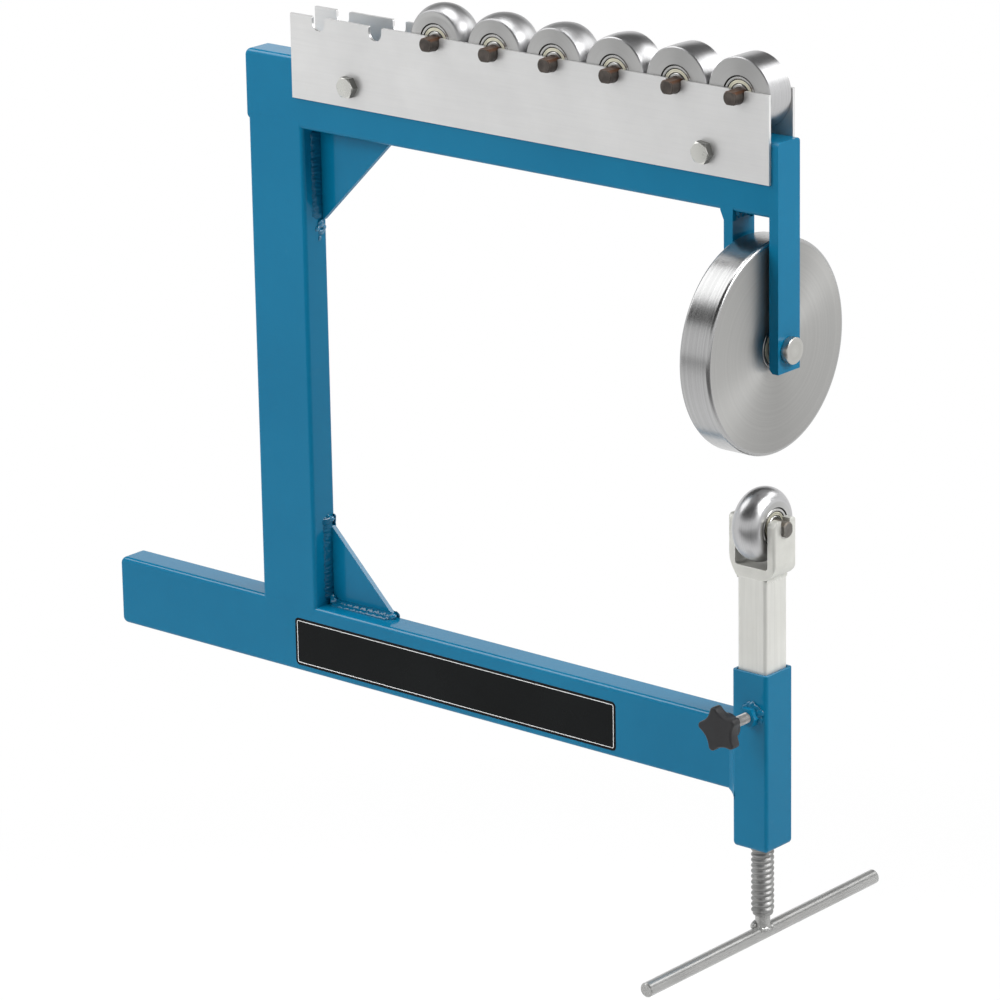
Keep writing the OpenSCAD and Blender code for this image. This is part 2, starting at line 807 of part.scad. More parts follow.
module slot_outline() {
    r = slot_w / 2;
    circle(r);
    translate([-r, 0]) square([slot_w, 2 * slot_depth]);
    difference() {
        translate([-r - slot_lip, plate_z1 - slot_arc_z - slot_lip])
            square([slot_w + 2 * slot_lip, 2 * slot_lip]);
        for (side = [-1, 1])
            translate([side * (r + slot_lip), plate_z1 - slot_arc_z - slot_lip]) circle(slot_lip);
    }
}

module rack_plate(y0) {
    color(SHEET) translate([0, y0 + plate_t, 0]) rotate([90, 0, 0]) difference() {
        linear_extrude(plate_t) difference() {
            translate([plate_x0, plate_z0]) square([plate_x1 - plate_x0, plate_z1 - plate_z0]);
            for (k = [0:slot_count - 1])
                translate([plate_x0 + plate_end + k * slot_pitch, slot_arc_z]) slot_outline();
        }
        for (x = BOLT_XS)
            translate([x, bolt_z, -plate_t]) cylinder(h = 3 * plate_t, r = bolt_d / 2 + drill_gap);
    }
}

module near_rack_plate() {
    rack_plate(-plate_out);
}

module far_rack_plate() {
    rack_plate(plate_y);
}

module rack_bolts() {
    color(ZINC) for (x = BOLT_XS)
        translate([x, -plate_out - bolt_head_h, bolt_z]) along_y() {
            hex_prism(bolt_af, bolt_head_h);
            cylinder(h = bolt_head_h + 2 * plate_out + bolt_nut_h + bolt_tail, d = bolt_d);
        }
}

module rack_nuts() {
    color(ZINC) for (x = BOLT_XS)
        translate([x, plate_out, bolt_z]) along_y() difference() {
            hex_prism(bolt_af, bolt_nut_h);
            translate([0, 0, -bolt_nut_h]) cylinder(h = 3 * bolt_nut_h, r = bolt_d / 2 + seat_gap);
        }
}

// A stored anvil rests in its pair of slots with its axle's flats level
module at_slot(k) {
    x = plate_x0 + plate_end + (first_filled + k - 1) * slot_pitch;
    translate([x, 0, rest_z]) along_y() rotate(90) children();
}

base_rail();
rail_end_cap();
column();
top_arm();
arm_end_cap();
upper_gusset();
lower_gusset();
front_strap();
rear_strap();
post_sleeve();
adjuster_nut();
lock_nut();
near_rack_plate();
far_rack_plate();
rack_bolts();
rack_nuts();
wheel_axle();
axle_circlip();
wheel_spacers();
wheel_inner_races();
upper_wheel();
wheel_outer_races();
post_tube();
post_foot();
yoke();
working_axle();
working_inner_races();
working_anvil();
working_outer_races();
adjuster_screw();
screw_circlip();
tee_bar();
lock_stud();
lock_knob();
for (k = [1:STORED]) {
    at_slot(k) anvil_roller(stored_crowns[k - 1]);
    at_slot(k) anvil_axle();
    at_slot(k) anvil_inner_races();
    at_slot(k) anvil_outer_races();
}
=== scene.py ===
"""Looks of a bench english wheel: materials, welds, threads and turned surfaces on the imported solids."""

import math

import bmesh
import bpy
from mathutils import Matrix, Vector


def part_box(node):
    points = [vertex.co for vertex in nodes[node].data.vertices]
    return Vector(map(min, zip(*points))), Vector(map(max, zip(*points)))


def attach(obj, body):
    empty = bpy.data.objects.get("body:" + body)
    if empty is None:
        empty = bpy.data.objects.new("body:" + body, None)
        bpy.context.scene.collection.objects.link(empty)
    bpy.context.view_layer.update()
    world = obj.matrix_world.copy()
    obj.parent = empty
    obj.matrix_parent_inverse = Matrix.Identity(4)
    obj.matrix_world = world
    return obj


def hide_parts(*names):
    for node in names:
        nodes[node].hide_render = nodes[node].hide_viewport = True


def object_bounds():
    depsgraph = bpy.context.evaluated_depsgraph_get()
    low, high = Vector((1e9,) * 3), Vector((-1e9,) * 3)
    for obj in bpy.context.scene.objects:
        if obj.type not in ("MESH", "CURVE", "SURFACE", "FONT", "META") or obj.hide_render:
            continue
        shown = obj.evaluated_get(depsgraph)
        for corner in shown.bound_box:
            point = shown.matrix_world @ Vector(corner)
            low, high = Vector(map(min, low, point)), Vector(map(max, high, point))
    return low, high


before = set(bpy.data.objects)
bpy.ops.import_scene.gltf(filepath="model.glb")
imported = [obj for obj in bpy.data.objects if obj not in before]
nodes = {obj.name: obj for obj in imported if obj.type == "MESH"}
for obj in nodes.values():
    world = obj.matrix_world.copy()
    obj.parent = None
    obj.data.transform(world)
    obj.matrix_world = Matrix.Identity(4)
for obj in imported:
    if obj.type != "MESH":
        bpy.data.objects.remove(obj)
cad_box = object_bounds()

# Frame tubes: base rail, column and top arm, cut from rectangular steel tube with rounded corners,
# coped and welded together, closed by ground end caps and sprayed with a gloss blue enamel.


def add(tree, kind, feeds=None, **values):
    """A node with its settings or plain values, fed by sockets or values; returns its outputs."""
    node = tree.nodes.new(kind)
    for key, value in values.items():
        label = key.replace("_", " ").title()
        if hasattr(node, key) and label not in node.inputs:
            setattr(node, key, value)
        else:
            node.inputs[label].default_value = value
    for key, source in (feeds or {}).items():
        if isinstance(source, bpy.types.NodeSocket):
            tree.links.new(source, node.inputs[key])
        else:
            node.inputs[key].default_value = source
    return node.outputs


def effect(name, inputs, outputs):
    """An empty node group with named float sockets; returns its tree, its inputs and its output node."""
    tree = bpy.data.node_groups.new(name, "ShaderNodeTree")
    for label, value in inputs.items():
        socket = tree.interface.new_socket(name=label, in_out="INPUT", socket_type="NodeSocketFloat")
        socket.default_value = value
    for label in outputs:
        tree.interface.new_socket(name=label, in_out="OUTPUT", socket_type="NodeSocketFloat")
    return tree, tree.nodes.new("NodeGroupInput").outputs, tree.nodes.new("NodeGroupOutput")


def place(tree, group, **values):
    """A copy of a node group in a material, with its own values; returns its outputs."""
    node = tree.nodes.new("ShaderNodeGroup")
    node.node_tree = group
    for key, value in values.items():
        node.inputs[key.replace("_", " ").title()].default_value = value
    return node.outputs


def mixed(tree, factor, first, second):
    """Colour mix of two plain colours or sockets by a factor socket; returns the result socket."""
    pair = [value + (1.0,) if isinstance(value, tuple) else value for value in (first, second)]
    return add(tree, "ShaderNodeMix", {0: factor, 6: pair[0], 7: pair[1]}, data_type="RGBA")[2]


def ranged(tree, value, low, high, start=0.0, end=1.0):
    """A socket's values from start to end, spread between low and high; returns the result socket."""
    return add(tree, "ShaderNodeMapRange", {"Value": value}, from_min=start, from_max=end, to_min=low,
               to_max=high)[0]


def product(tree, first, second, operation="MULTIPLY"):
    """Two sockets or values through a math node; returns the result socket."""
    return add(tree, "ShaderNodeMath", {0: first, 1: second}, operation=operation)[0]


def grain(tree, vector, scale, detail, rough, start, end):
    """Noise over a vector socket, its values from start to end spread between 0 and 1."""
    noise = add(tree, "ShaderNodeTexNoise", {"Vector": vector, "Scale": scale}, detail=detail,
                roughness=rough)
    return ranged(tree, noise[0], 0.0, 1.0, start, end)


def finish(name, **values):
    """A new material with one Principled shader and its plain values; returns material, tree, shader."""
    material = bpy.data.materials.new(name)
    material.use_nodes = True
    shader = material.node_tree.nodes["Principled BSDF"]
    for key, value in values.items():
        shader.inputs[key.replace("_", " ")].default_value = value
    return material, material.node_tree, shader


def surface(tree, shader, tone, rough, height=None, strength=0.0, distance=0.0):
    """Colour, roughness and, where there is a height, bump onto a shader."""
    tree.links.new(tone, shader.inputs["Base Color"])
    tree.links.new(rough, shader.inputs["Roughness"])
    if height is not None:
        bump = add(tree, "ShaderNodeBump", {"Height": height}, strength=strength, distance=distance)
        tree.links.new(bump[0], shader.inputs["Normal"])


# Cloudy variation over a surface: broad tone, fine grain and small specks, in the object's own space
cloud, cloud_in, cloud_out = effect(
    "Cloudy surface", {"Broad Scale": 12.0, "Fine Scale": 300.0, "Speck Scale": 90.0},
    ("Broad", "Fine", "Specks"))
where = add(cloud, "ShaderNodeTexCoord")["Object"]
for label, *noise_values in (("Broad", 4.0, 0.55, 0.3, 0.7), ("Fine", 3.0, 0.6, 0.2, 0.8),
                             ("Specks", 6.0, 0.7, 0.62, 0.78)):
    noise = grain(cloud, where, cloud_in[label.rstrip("s") + " Scale"], *noise_values)
    cloud.links.new(noise, cloud_out.inputs[label])

# Mask of the convex edges, broken up by noise: where a coat is thin or a corner is rubbed, and where the
# blue enamel gets its painted edge highlight
edges, edges_in, edges_out = effect("Rubbed and highlighted edges", {"Reach": 0.0012, "Break Scale": 120.0}, ("Edge",))
soft = add(edges, "ShaderNodeBevel", {"Radius": edges_in["Reach"]}, samples=4)[0]
flat = add(edges, "ShaderNodeNewGeometry")["Normal"]
match = add(edges, "ShaderNodeVectorMath", {0: soft, 1: flat}, operation="DOT_PRODUCT")["Value"]
where = add(edges, "ShaderNodeTexCoord")["Object"]
breaks = grain(edges, where, edges_in["Break Scale"], 5.0, 0.65, 0.35, 0.65)
edges.links.new(product(edges, ranged(edges, match, 0.0, 1.0, 0.995, 0.86), breaks), edges_out.inputs["Edge"])

# Mask of what faces up, from the surface's own direction, with its maximum along the rounded upper edges
up_side, _, up_out = effect("Facing up", {}, ("Up",))
facing = add(up_side, "ShaderNodeTexCoord")["Normal"]
rise = add(up_side, "ShaderNodeSeparateXYZ", {0: facing})["Z"]
lift = ranged(up_side, rise, 0.0, 1.0, 0.40, 0.62)
flat_top = ranged(up_side, rise, 1.0, 0.45, 0.88, 0.99)
up_side.links.new(product(up_side, lift, flat_top), up_out.inputs["Up"])


def cloudy(name, scales, dark, pale, rough, bump=None, specks=None, edge_rub_and_sheen=None, top=None, rough_by="Fine",
           **values):
    """A material of cloudy tone: specks and top are (share, colour), rub is (reach, break scale, colour)."""
    material, tree, shader = finish(name, **values)
    haze = place(tree, cloud, broad_scale=scales[0], fine_scale=scales[1], speck_scale=scales[2])
    tone = mixed(tree, haze["Broad"], dark, pale)
    if specks:
        tone = mixed(tree, ranged(tree, haze["Specks"], 0.0, specks[0]), tone, specks[1])
    if top:
        tone = mixed(tree, ranged(tree, place(tree, up_side)["Up"], 0.0, top[0]), tone, top[1])
    if edge_rub_and_sheen:
        tone = mixed(tree, place(tree, edges, reach=edge_rub_and_sheen[0], break_scale=edge_rub_and_sheen[1])["Edge"], tone, edge_rub_and_sheen[2])
    relief = (haze["Fine"], *bump) if bump else ()
    surface(tree, shader, tone, ranged(tree, haze[rough_by], *rough), *relief)
    return material


def sprayed(name, low, high, rough, edge_wear_and_sheen=0.12, side_coat=0.20):
    """Blue enamel sprayed from above: the upper edges and faces carry the thickest and glossiest film; its
    convex edges are mixed to a lighter blue, a painted highlight that also stands for thinner paint there.
    """
    material, tree, shader = finish(name, Specular_IOR_Level=0.04, Coat_Roughness=0.06, Coat_IOR=1.7)
    edge_highlight_blue, dusty_blue, dust_share, top_coat = (0.030, 0.245, 0.405), (0.14, 0.32, 0.44), 0.05, 0.95
    film = place(tree, cloud, broad_scale=5.0, fine_scale=420.0, speck_scale=60.0)
    edge_rub_and_sheen = place(tree, edges, reach=0.0016, break_scale=70.0)
    tone = mixed(tree, film["Broad"], low, high)
    # Painted highlight: the convex edges are mixed towards a lighter blue, which also stands for thinner
    # paint there
    tone = mixed(tree, ranged(tree, edge_rub_and_sheen["Edge"], 0.0, edge_wear_and_sheen), tone, edge_highlight_blue)
    tone = mixed(tree, ranged(tree, film["Specks"], 0.0, dust_share), tone, dusty_blue)
    surface(tree, shader, tone, ranged(tree, film["Fine"], *rough), film["Fine"], 0.04, 0.0004)
    coat = ranged(tree, place(tree, up_side)["Up"], side_coat, top_coat)
    tree.links.new(coat, shader.inputs["Coat Weight"])
    return material


blue_low, blue_high, blue_rough = (0.0003, 0.126, 0.244), (0.0024, 0.148, 0.276), (0.26, 0.36)
enamel = sprayed("blue_enamel", blue_low, blue_high, blue_rough)


def dress(names, material, bevel=None, segments=2):
    """A material on CAD nodes, and broken edges where the real piece has them."""
    sharpest_kept = math.radians(40)
    for name in names:
        piece = nodes[name]
        piece.data.materials.clear()
        piece.data.materials.append(material)
        if bevel:
            edge = piece.modifiers.new("broken_edges", "BEVEL")
            edge.width = bevel
            edge.segments = segments
            edge.limit_method = "ANGLE"
            edge.angle_limit = sharpest_kept


dress(["base_rail", "column", "top_arm"], enamel)
dress(["upper_gusset", "lower_gusset", "lock_nut"], enamel, 0.0006)
dress(["front_strap", "rear_strap"], enamel, 0.0009)


# Welds of the frame: hand-laid fillets in the corners of gussets, sleeve and fork bars, with ripples and a
# lump where the welder stopped, and blobs round the lock nut, all painted over with the frame.


def link_mesh(name, mesh, materials, body, sharp=38, matrix=None):
    """A mesh as a piece of the object, smooth apart from its sharp edges, riding on a body."""
    piece = bpy.data.objects.new(name, mesh)
    bpy.context.scene.collection.objects.link(piece)
    if matrix is not None:
        piece.matrix_world = matrix
        bpy.context.view_layer.update()
    for material in materials:
        mesh.materials.append(material)
    mesh.shade_smooth()
    mesh.set_sharp_from_angle(angle=math.radians(sharp))
    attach(piece, body)
    return piece


def skin(rows, count):
    """Quads between rows of points that close round on themselves."""
    quads = []
    for a in range(0, (rows - 1) * count, count):
        b = a + count
        quads += [(a + j, a + (j + 1) % count, b + (j + 1) % count, b + j) for j in range(count)]
    return quads


def tidy(mesh, matrix=Matrix()):
    """Joins double points, turns the faces outwards and moves the mesh to its place."""
    work = bmesh.new()
    work.from_mesh(mesh)
    bmesh.ops.remove_doubles(work, verts=work.verts, dist=1e-7)
    bmesh.ops.recalc_face_normals(work, faces=work.faces)
    bmesh.ops.transform(work, matrix=matrix, verts=work.verts)
    work.to_mesh(mesh)
    work.free()


def lofted(name, loops, caps=(0, -1), band=None, clean=True, matrix=Matrix()):
    """A mesh over closed loops of points, capped at its ends; one band may take the second material."""
    count = len(loops[0])
    faces = skin(len(loops), count)
    for end in caps:
        first = end % len(loops) * count
        rim = range(first, first + count)
        faces.append(tuple(rim if end else reversed(rim)))
    mesh = bpy.data.meshes.new(name)
    mesh.from_pydata([tuple(point) for loop in loops for point in loop], [], faces)
    if band is not None:
        for face in mesh.polygons[band * count:(band + 1) * count]:
            face.material_index = 1
    if clean:
        tidy(mesh, matrix)
    else:
        mesh.transform(matrix)
    return mesh


def wobble(s, seed):
    """Uneven hand movement along a weld, about -1 to 1."""
    waves = ((0.5, 730, 1.0), (0.3, 1610, 2.3), (0.2, 2990, 4.1))
    return sum(share * math.sin(s * turns + phase * seed) for share, turns, phase in waves)


def straight(start, end, first, second, legs):
    """Stations of a straight weld: (place, direction up each face, legs up each face)."""
    station_step, fewest = 0.0007, 10
    start, end = Vector(start), Vector(end)
    steps = max(fewest, int((end - start).length / station_step))
    return [(start.lerp(end, i / steps), Vector(first), Vector(second), legs) for i in range(steps + 1)]


def fillet(name, stations, seed, paint, bulge=0.16, uneven=1.0):
    """A fillet weld along its stations: legs up two faces, a bulged or hollow skin with ripples between."""
    across, ripple, lag_back, root_sunk, toe_sunk = 9, 0.0042, 0.0016, 0.0006, 0.0004
    end_lump, leg_uneven, ripple_share, wobble_share, skew = 0.25, 0.13, 0.10, 0.07, 0.003
    tip_length, tip_least, lump_length = 0.8, 0.1, 0.9
    runs = [0.0]
    for before, after in zip(stations, stations[1:]):
        runs.append(runs[-1] + (after[0] - before[0]).length)
    loops = []
    for s, (centre, first, second, legs) in zip(runs, stations):
        size = (legs[0] + legs[1]) / 2
        left_over = runs[-1] - s
        tip = max(0.0, min(s, left_over)) / (tip_length * size)
        grow = math.sqrt(1 - (1 - min(1.0, tip)) ** 2) * (1 - tip_least) + tip_least
        lump = 1 + end_lump * uneven * math.exp(-(left_over / (lump_length * size)) ** 2)
        leg_a = legs[0] * grow * lump * (1 + leg_uneven * uneven * wobble(s, seed))
        leg_b = legs[1] * grow * lump * (1 + leg_uneven * uneven * wobble(s, seed + 2.0))
        out = (first + second).normalized()
        loop = [centre - out * root_sunk]
        for j in range(across):
            q = j / (across - 1)
            arch = 4 * q * (1 - q)
            lag = s + lag_back * arch
            wave = ripple_share * abs(math.sin(math.pi * lag / ripple))
            wave += wobble_share * wobble(lag + skew * q, seed + 5.0)
            rise = size * grow * (bulge + uneven * wave) * arch
            if j in (0, across - 1):
                rise -= toe_sunk
            loop.append(centre + first * leg_a * (1 - q) + second * leg_b * q + out * rise)
        loops.append(loop)
    return link_mesh(name, lofted(name, loops), [paint], "frame")


def blobs(name, places, material, body):
    """Lumps of weld metal: flattened drops at (place, radius, outward direction), overlapping in a row."""
    rows, around, flattened, lowest, sweep, oval, three_sided = 9, 20, 0.62, -40, 130, 0.20, 0.09
    verts, faces = [], []
    for number, (at, radius, out) in enumerate(places):
        out = Vector(out).normalized()
        side = out.orthogonal().normalized()
        other = out.cross(side)
        first = len(verts)
        for i in range(rows):
            t = math.radians(lowest + sweep * i / (rows - 1))
            for j in range(around):
                a = 2 * math.pi * j / around
                swell = 1 + oval * math.sin(2 * a + number * 1.7) + three_sided * math.sin(3 * a + number)
                flat = (side * math.cos(a) + other * math.sin(a)) * swell * math.cos(t)
                verts.append(tuple(Vector(at) + (flat + out * flattened * math.sin(t)) * radius))
        faces += [tuple(first + k for k in face) for face in skin(rows, around)]
        faces.append(tuple(first + k for k in reversed(range(around))))
    mesh = bpy.data.meshes.new(name)
    mesh.from_pydata(verts, [], faces)
    tidy(mesh)
    return link_mesh(name, mesh, [material], body)


rail_lo, rail_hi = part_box("base_rail")
column_lo, column_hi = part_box("column")
upper_lo, upper_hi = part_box("upper_gusset")
lower_lo, lower_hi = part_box("lower_gusset")
sleeve_lo, sleeve_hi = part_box("post_sleeve")
rear_lo, rear_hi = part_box("rear_strap")
front_lo, front_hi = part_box("front_strap")
nut_lo, nut_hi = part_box("lock_nut")
tube_side = rail_lo.y
tube_r = 0.004
tube_flat = -tube_side - tube_r
column_face = column_hi.x
rail_top = rail_hi.z
arm_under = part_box("top_arm")[0].z
near, far = upper_lo.y, upper_hi.y
right, left, to_us, away = (1, 0, 0), (-1, 0, 0), (0, -1, 0), (0, 1, 0)
above, below = (0, 0, 1), (0, 0, -1)

# Darker blue for the welds: painted shade of the corners they fill
weld_shade_paint = sprayed("weld_shade_enamel", (0.0006, 0.062, 0.128), (0.0030, 0.120, 0.225), (0.20, 0.32))
foot_y = near - 0.0052
hand_welds = (
    ("upper_gusset_column", (column_face, near, arm_under - 0.002), (column_face, near, upper_lo.z + 0.001),
     right, to_us, (0.0024, 0.0125), 1.9, 0.08, 0.60),
    ("upper_gusset_arm", (column_face + 0.003, near, arm_under), (upper_hi.x + 0.002, near, arm_under),
     below, to_us, (0.0045, 0.0060), 0.4, 0.16, 0.9),
    ("lower_gusset_column", (column_face, near, rail_top + 0.003), (column_face, near, lower_hi.z + 0.011),
     right, to_us, (0.0034, 0.0100), 2.7, 0.06, 0.65),
    ("lower_gusset_rail", (column_face + 0.003, near, rail_top), (lower_hi.x + 0.004, near, rail_top),
     above, to_us, (0.0058, 0.0062), 3.3, 0.14, 0.45),
    ("lower_gusset_foot", (column_face + 0.005, foot_y, rail_top), (lower_hi.x, foot_y, rail_top),
     above, to_us, (0.0030, 0.0042), 4.6, 0.14, 0.45),
    ("rear_strap_front", (rear_hi.x, tube_side + 0.003, arm_under),
     (rear_hi.x, -tube_side - 0.002, arm_under), right, below, (0.0046, 0.0062), 0.9, 0.20, 2.2),
    ("front_strap_under", (front_lo.x, -tube_flat, arm_under), (front_lo.x, tube_flat, arm_under),
     left, below, (0.0026, 0.0026), 2.2, 0.16, 0.6))
far_leg = 0.0030
for name, start, end, first, second, legs, seed, bulge, uneven in hand_welds:
    fillet(f"weld_{name}", straight(start, end, first, second, legs), seed, weld_shade_paint, bulge, uneven)
    if start[1] == near:
        behind = straight((start[0], far, start[2]), (end[0], far, end[2]), first, away, (legs[0], far_leg))
        fillet(f"weld_{name}_behind", behind, seed + 1.0, weld_shade_paint, uneven=0.8)

# Weld round the rail's end on the sleeve, ground to a smooth hollow; it follows the tube's rounded corners
sleeve_r, inside = 0.0035, 0.0022
beside, under = Vector((0.0070 + inside, 0.0040)), Vector((0.0100 + inside, 0.0125))
collar_top, collar_step, bends = rail_top - 0.002, 0.0007, 12
path = [(-1, collar_top - collar_step * k, 0.0) for k in range(int((collar_top - tube_r) / collar_step))]
path += [(-1, tube_r, math.radians(90 * k / bends)) for k in range(bends + 1)]
collar = []
for side, z, t in path + [(-side, z, t) for side, z, t in reversed(path)]:
    second = Vector((0, side * math.cos(t), -math.sin(t)))
    at = Vector((sleeve_lo.x + inside, side * tube_flat, z)) + second * tube_r
    collar.append((at, Vector(left), second, tuple(beside.lerp(under, math.sin(t) ** 2))))
fillet("weld_sleeve", collar, 0.7, enamel, bulge=-0.15, uneven=0.12)
seam = straight((sleeve_lo.x, -tube_flat, rail_top), (sleeve_lo.x, tube_flat, rail_top), left, above,
                (0.0035, 0.0032))
fillet("weld_sleeve_top", seam, 4.2, enamel)


# Welds ground flush: where the column meets rail and arm, and where the rear fork bar meets the arm
smooth_paint = sprayed("dressed_enamel", blue_low, blue_high, blue_rough, edge_wear_and_sheen=0.0)


def flat_plate(name, outline, near_y, far_y):
    """A dressed weld: an outline in X-Z between two depths, its long edges a hair rounded."""
    hair = 0.0004
    points = [Vector(point) for point in outline]
    middle = sum(points, Vector((0, 0))) / len(points)
    loops = []
    for y, inset in ((near_y, hair), (near_y + hair, 0.0), (far_y - hair, 0.0), (far_y, hair)):
        moved = [point + (middle - point).normalized() * inset for point in points]
        loops.append([(point.x, y, point.y) for point in moved])
    link_mesh(name, lofted(name, loops), [smooth_paint], "frame")


proud, sunk, corner_kept = 0.00008, 0.0016, 0.0035
column_x0, column_x1 = column_lo.x + corner_kept, column_hi.x - corner_kept
for tag, z0, z1 in (("foot", rail_top - 0.0075, rail_top + 0.0010),
                    ("head", arm_under - 0.0010, arm_under + 0.0075)):
    seam = [(column_x0, z0), (column_x1, z0), (column_x1, z1), (column_x0, z1)]
    flat_plate(f"dressed_{tag}_near", seam, tube_side - proud, tube_side + sunk)
    flat_plate(f"dressed_{tag}_far", seam, -tube_side - sunk, -tube_side + proud)
root_rise, root_drop = arm_under + 0.0065, arm_under - 0.0090
root = [(rear_lo.x - 0.0042, arm_under - 0.0002), (rear_lo.x - 0.0040, root_rise),
        (rear_hi.x + 0.0010, root_rise), (rear_hi.x + 0.0002, root_drop), (rear_lo.x - 0.0002, root_drop)]
flat_plate("dressed_rear_strap", root, tube_side - proud, -tube_side + proud)

nut_mid = (nut_lo + nut_hi) / 2
drops = [(-14, 0.0034, 0.0100), (22, 0.0050, 0.0092), (58, 0.0040, 0.0098), (80, 0.0052, 0.0090),
         (112, 0.0036, 0.0100), (134, 0.0046, 0.0094)]
places = []
for angle, radius, out in drops:
    x, z = math.cos(math.radians(angle)), math.sin(math.radians(angle))
    at = (nut_mid.x + out * x, nut_hi.y - 0.0010, nut_mid.z + out * z)
    places.append((at, radius, (0.5 * x, -1, 0.5 * z)))
blobs("weld_lock_nut", places, weld_shade_paint, "frame")
tips = [((upper_lo.x + 0.0005, near - 0.002, upper_lo.z - 0.004), 0.0040, (1, -0.4, -0.2)),
        ((upper_lo.x + 0.0002, near - 0.006, upper_lo.z - 0.008), 0.0030, (1, -0.2, 0)),
        ((upper_lo.x + 0.0002, near - 0.001, upper_lo.z - 0.012), 0.0034, (1, -0.2, 0)),
        ((upper_lo.x + 0.0001, near + 0.003, upper_lo.z - 0.008), 0.0034, (1, 0, 0)),
        ((upper_lo.x + 0.0001, near - 0.003, upper_lo.z - 0.018), 0.0022, (1, 0, 0)),
        ((lower_hi.x + 0.001, near - 0.002, rail_top + 0.002), 0.0038, (0.4, -1, 0.8)),
        ((lower_lo.x + 0.001, near - 0.001, lower_hi.z + 0.008), 0.0042, (0.8, -1, 0.4)),
        ((lower_lo.x + 0.005, near - 0.003, rail_top + 0.005), 0.0046, (0.7, -1, 0.7))]
spatter_paint = sprayed("spatter_enamel", blue_low, blue_high, (0.16, 0.26), edge_wear_and_sheen=0.0, side_coat=1.0)
blobs("weld_gusset_tips", tips, spatter_paint, "frame")


# Post sleeve: a length of square tube upright on the rail's front end, its lower end ground well round and
# its near wall drilled for the lock stud. It is welded to the rail and painted with the frame.


def arc(cx, cz, r, start, end, count):
    """Points of a circular arc in a profile, angles in degrees from the profile's first axis."""
    turns = [math.radians(start + (end - start) * k / count) for k in range(count + 1)]
    return [(cx + r * math.cos(t), cz + r * math.sin(t)) for t in turns]


def square_loop(half, corner, z):
    """Points round a square tube, with one close to each end of a corner to keep the walls flat."""
    flat, close, bends = half - corner, 0.0004, 8
    side = [(half, close - flat), (half, flat - close)] + arc(flat, flat, corner, 0, 90, bends)
    loop = []
    for quarter in range(4):
        turn = Matrix.Rotation(quarter * math.pi / 2, 2)
        loop += [turn @ Vector(point) for point in side]
    return [((sleeve_lo.x + sleeve_hi.x) / 2 + point.x, point.y, z) for point in loop]


def drilled(mesh, at, radius, depth):
    """The mesh with a round hole along Y through a point."""
    bore = bmesh.new()
    bmesh.ops.create_cone(bore, cap_ends=True, segments=48, radius1=radius, radius2=radius, depth=depth,
                          matrix=Matrix.Translation(at) @ Matrix.Rotation(math.pi / 2, 4, "X"))
    drill_mesh = bpy.data.meshes.new("drill")
    bore.to_mesh(drill_mesh)
    bore.free()
    blank = bpy.data.objects.new("blank", mesh)
    drill = bpy.data.objects.new("drill", drill_mesh)
    for piece in (blank, drill):
        bpy.context.scene.collection.objects.link(piece)
    cut = blank.modifiers.new("hole", "BOOLEAN")
    cut.operation = "DIFFERENCE"
    cut.object = drill
    view = bpy.context.evaluated_depsgraph_get()
    result = bpy.data.meshes.new_from_object(blank.evaluated_get(view))
    for piece in (blank, drill):
        bpy.data.objects.remove(piece)
    return result


wall, foot_r, rim_r, thin, close, least_r, bore_gap = 0.003, 0.005, 0.0008, 0.0002, 0.0004, 0.0007, 0.0004
foot_bends, rim_bends = 8, 4
half_w = (sleeve_hi.y - sleeve_lo.y) / 2
first_turn = math.asin(1 - (wall - thin) / foot_r)
foot_z = sleeve_lo.z - foot_r * (1 - math.cos(first_turn))
rows = arc(foot_r, foot_z + foot_r, foot_r, -90 - math.degrees(first_turn), -180, foot_bends)
rows += [(0.0, foot_z + foot_r + close), (0.0, sleeve_hi.z - rim_r - close)]
rows += arc(rim_r, sleeve_hi.z - rim_r, rim_r, 180, 90, rim_bends)
rows += [(wall - thin, sleeve_hi.z), (wall, sleeve_hi.z - thin), (wall, sleeve_lo.z + thin)]
rows.append(rows[0])
loops = [square_loop(half_w - inset, max(sleeve_r - inset, least_r), z) for inset, z in rows]
blank_sleeve = lofted("post_sleeve_blank", loops, caps=())
stud_lo, stud_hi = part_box("lock_stud")
stud_mid = (stud_lo + stud_hi) / 2
bore_r = (stud_hi.x - stud_lo.x) / 2 + bore_gap
mesh = drilled(blank_sleeve, (stud_mid.x, sleeve_lo.y + wall / 2, stud_mid.z), bore_r, 2 * wall)
mesh.name = "post_sleeve_ground"
piece = link_mesh("post_sleeve_ground", mesh, [enamel], "frame")
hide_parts("post_sleeve")


# End caps of rail and arm: thick plates welded into the tubes' rear ends, ground off with a large radius
# along the top and bottom and a small one down the sides.


def rounded_loop(x0, x1, z0, z1, r, bends):
    """Points round a rectangle with rounded corners."""
    loop = []
    corners = ((x1 - r, z1 - r, 0), (x0 + r, z1 - r, 90), (x0 + r, z0 + r, 180), (x1 - r, z0 + r, 270))
    for cx, cz, start in corners:
        loop += arc(cx, cz, r, start, start + 90, bends)
    return loop


cap_reach, cap_z_round, cap_y_round, cap_steps, cap_bends = 0.005, 0.005, 0.0018, 12, 6
for node in ("rail_end_cap", "arm_end_cap"):
    lo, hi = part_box(node)
    loops = []
    for k in range(cap_steps + 1):
        depth = cap_reach * (1 - math.cos(math.pi / 2 * k / cap_steps))
        drop_y, drop_z = (r - math.sqrt(max(0.0, r ** 2 - max(0.0, r - depth) ** 2))
                          for r in (cap_y_round, cap_z_round))
        side = hi.y - drop_y
        outline = rounded_loop(-side, side, lo.z + drop_z, hi.z - drop_z, tube_r, cap_bends)
        loops.append([(lo.x + depth, y, z) for y, z in outline])
    name = f"{node}_ground"
    piece = link_mesh(name, lofted(name, loops), [enamel], "frame")
    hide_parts(node)


# Name panel on the near side of the base rail: a printed film with rounded corners, gloss black inside and
# outside a thin white keyline, stuck flat on the painted tube.

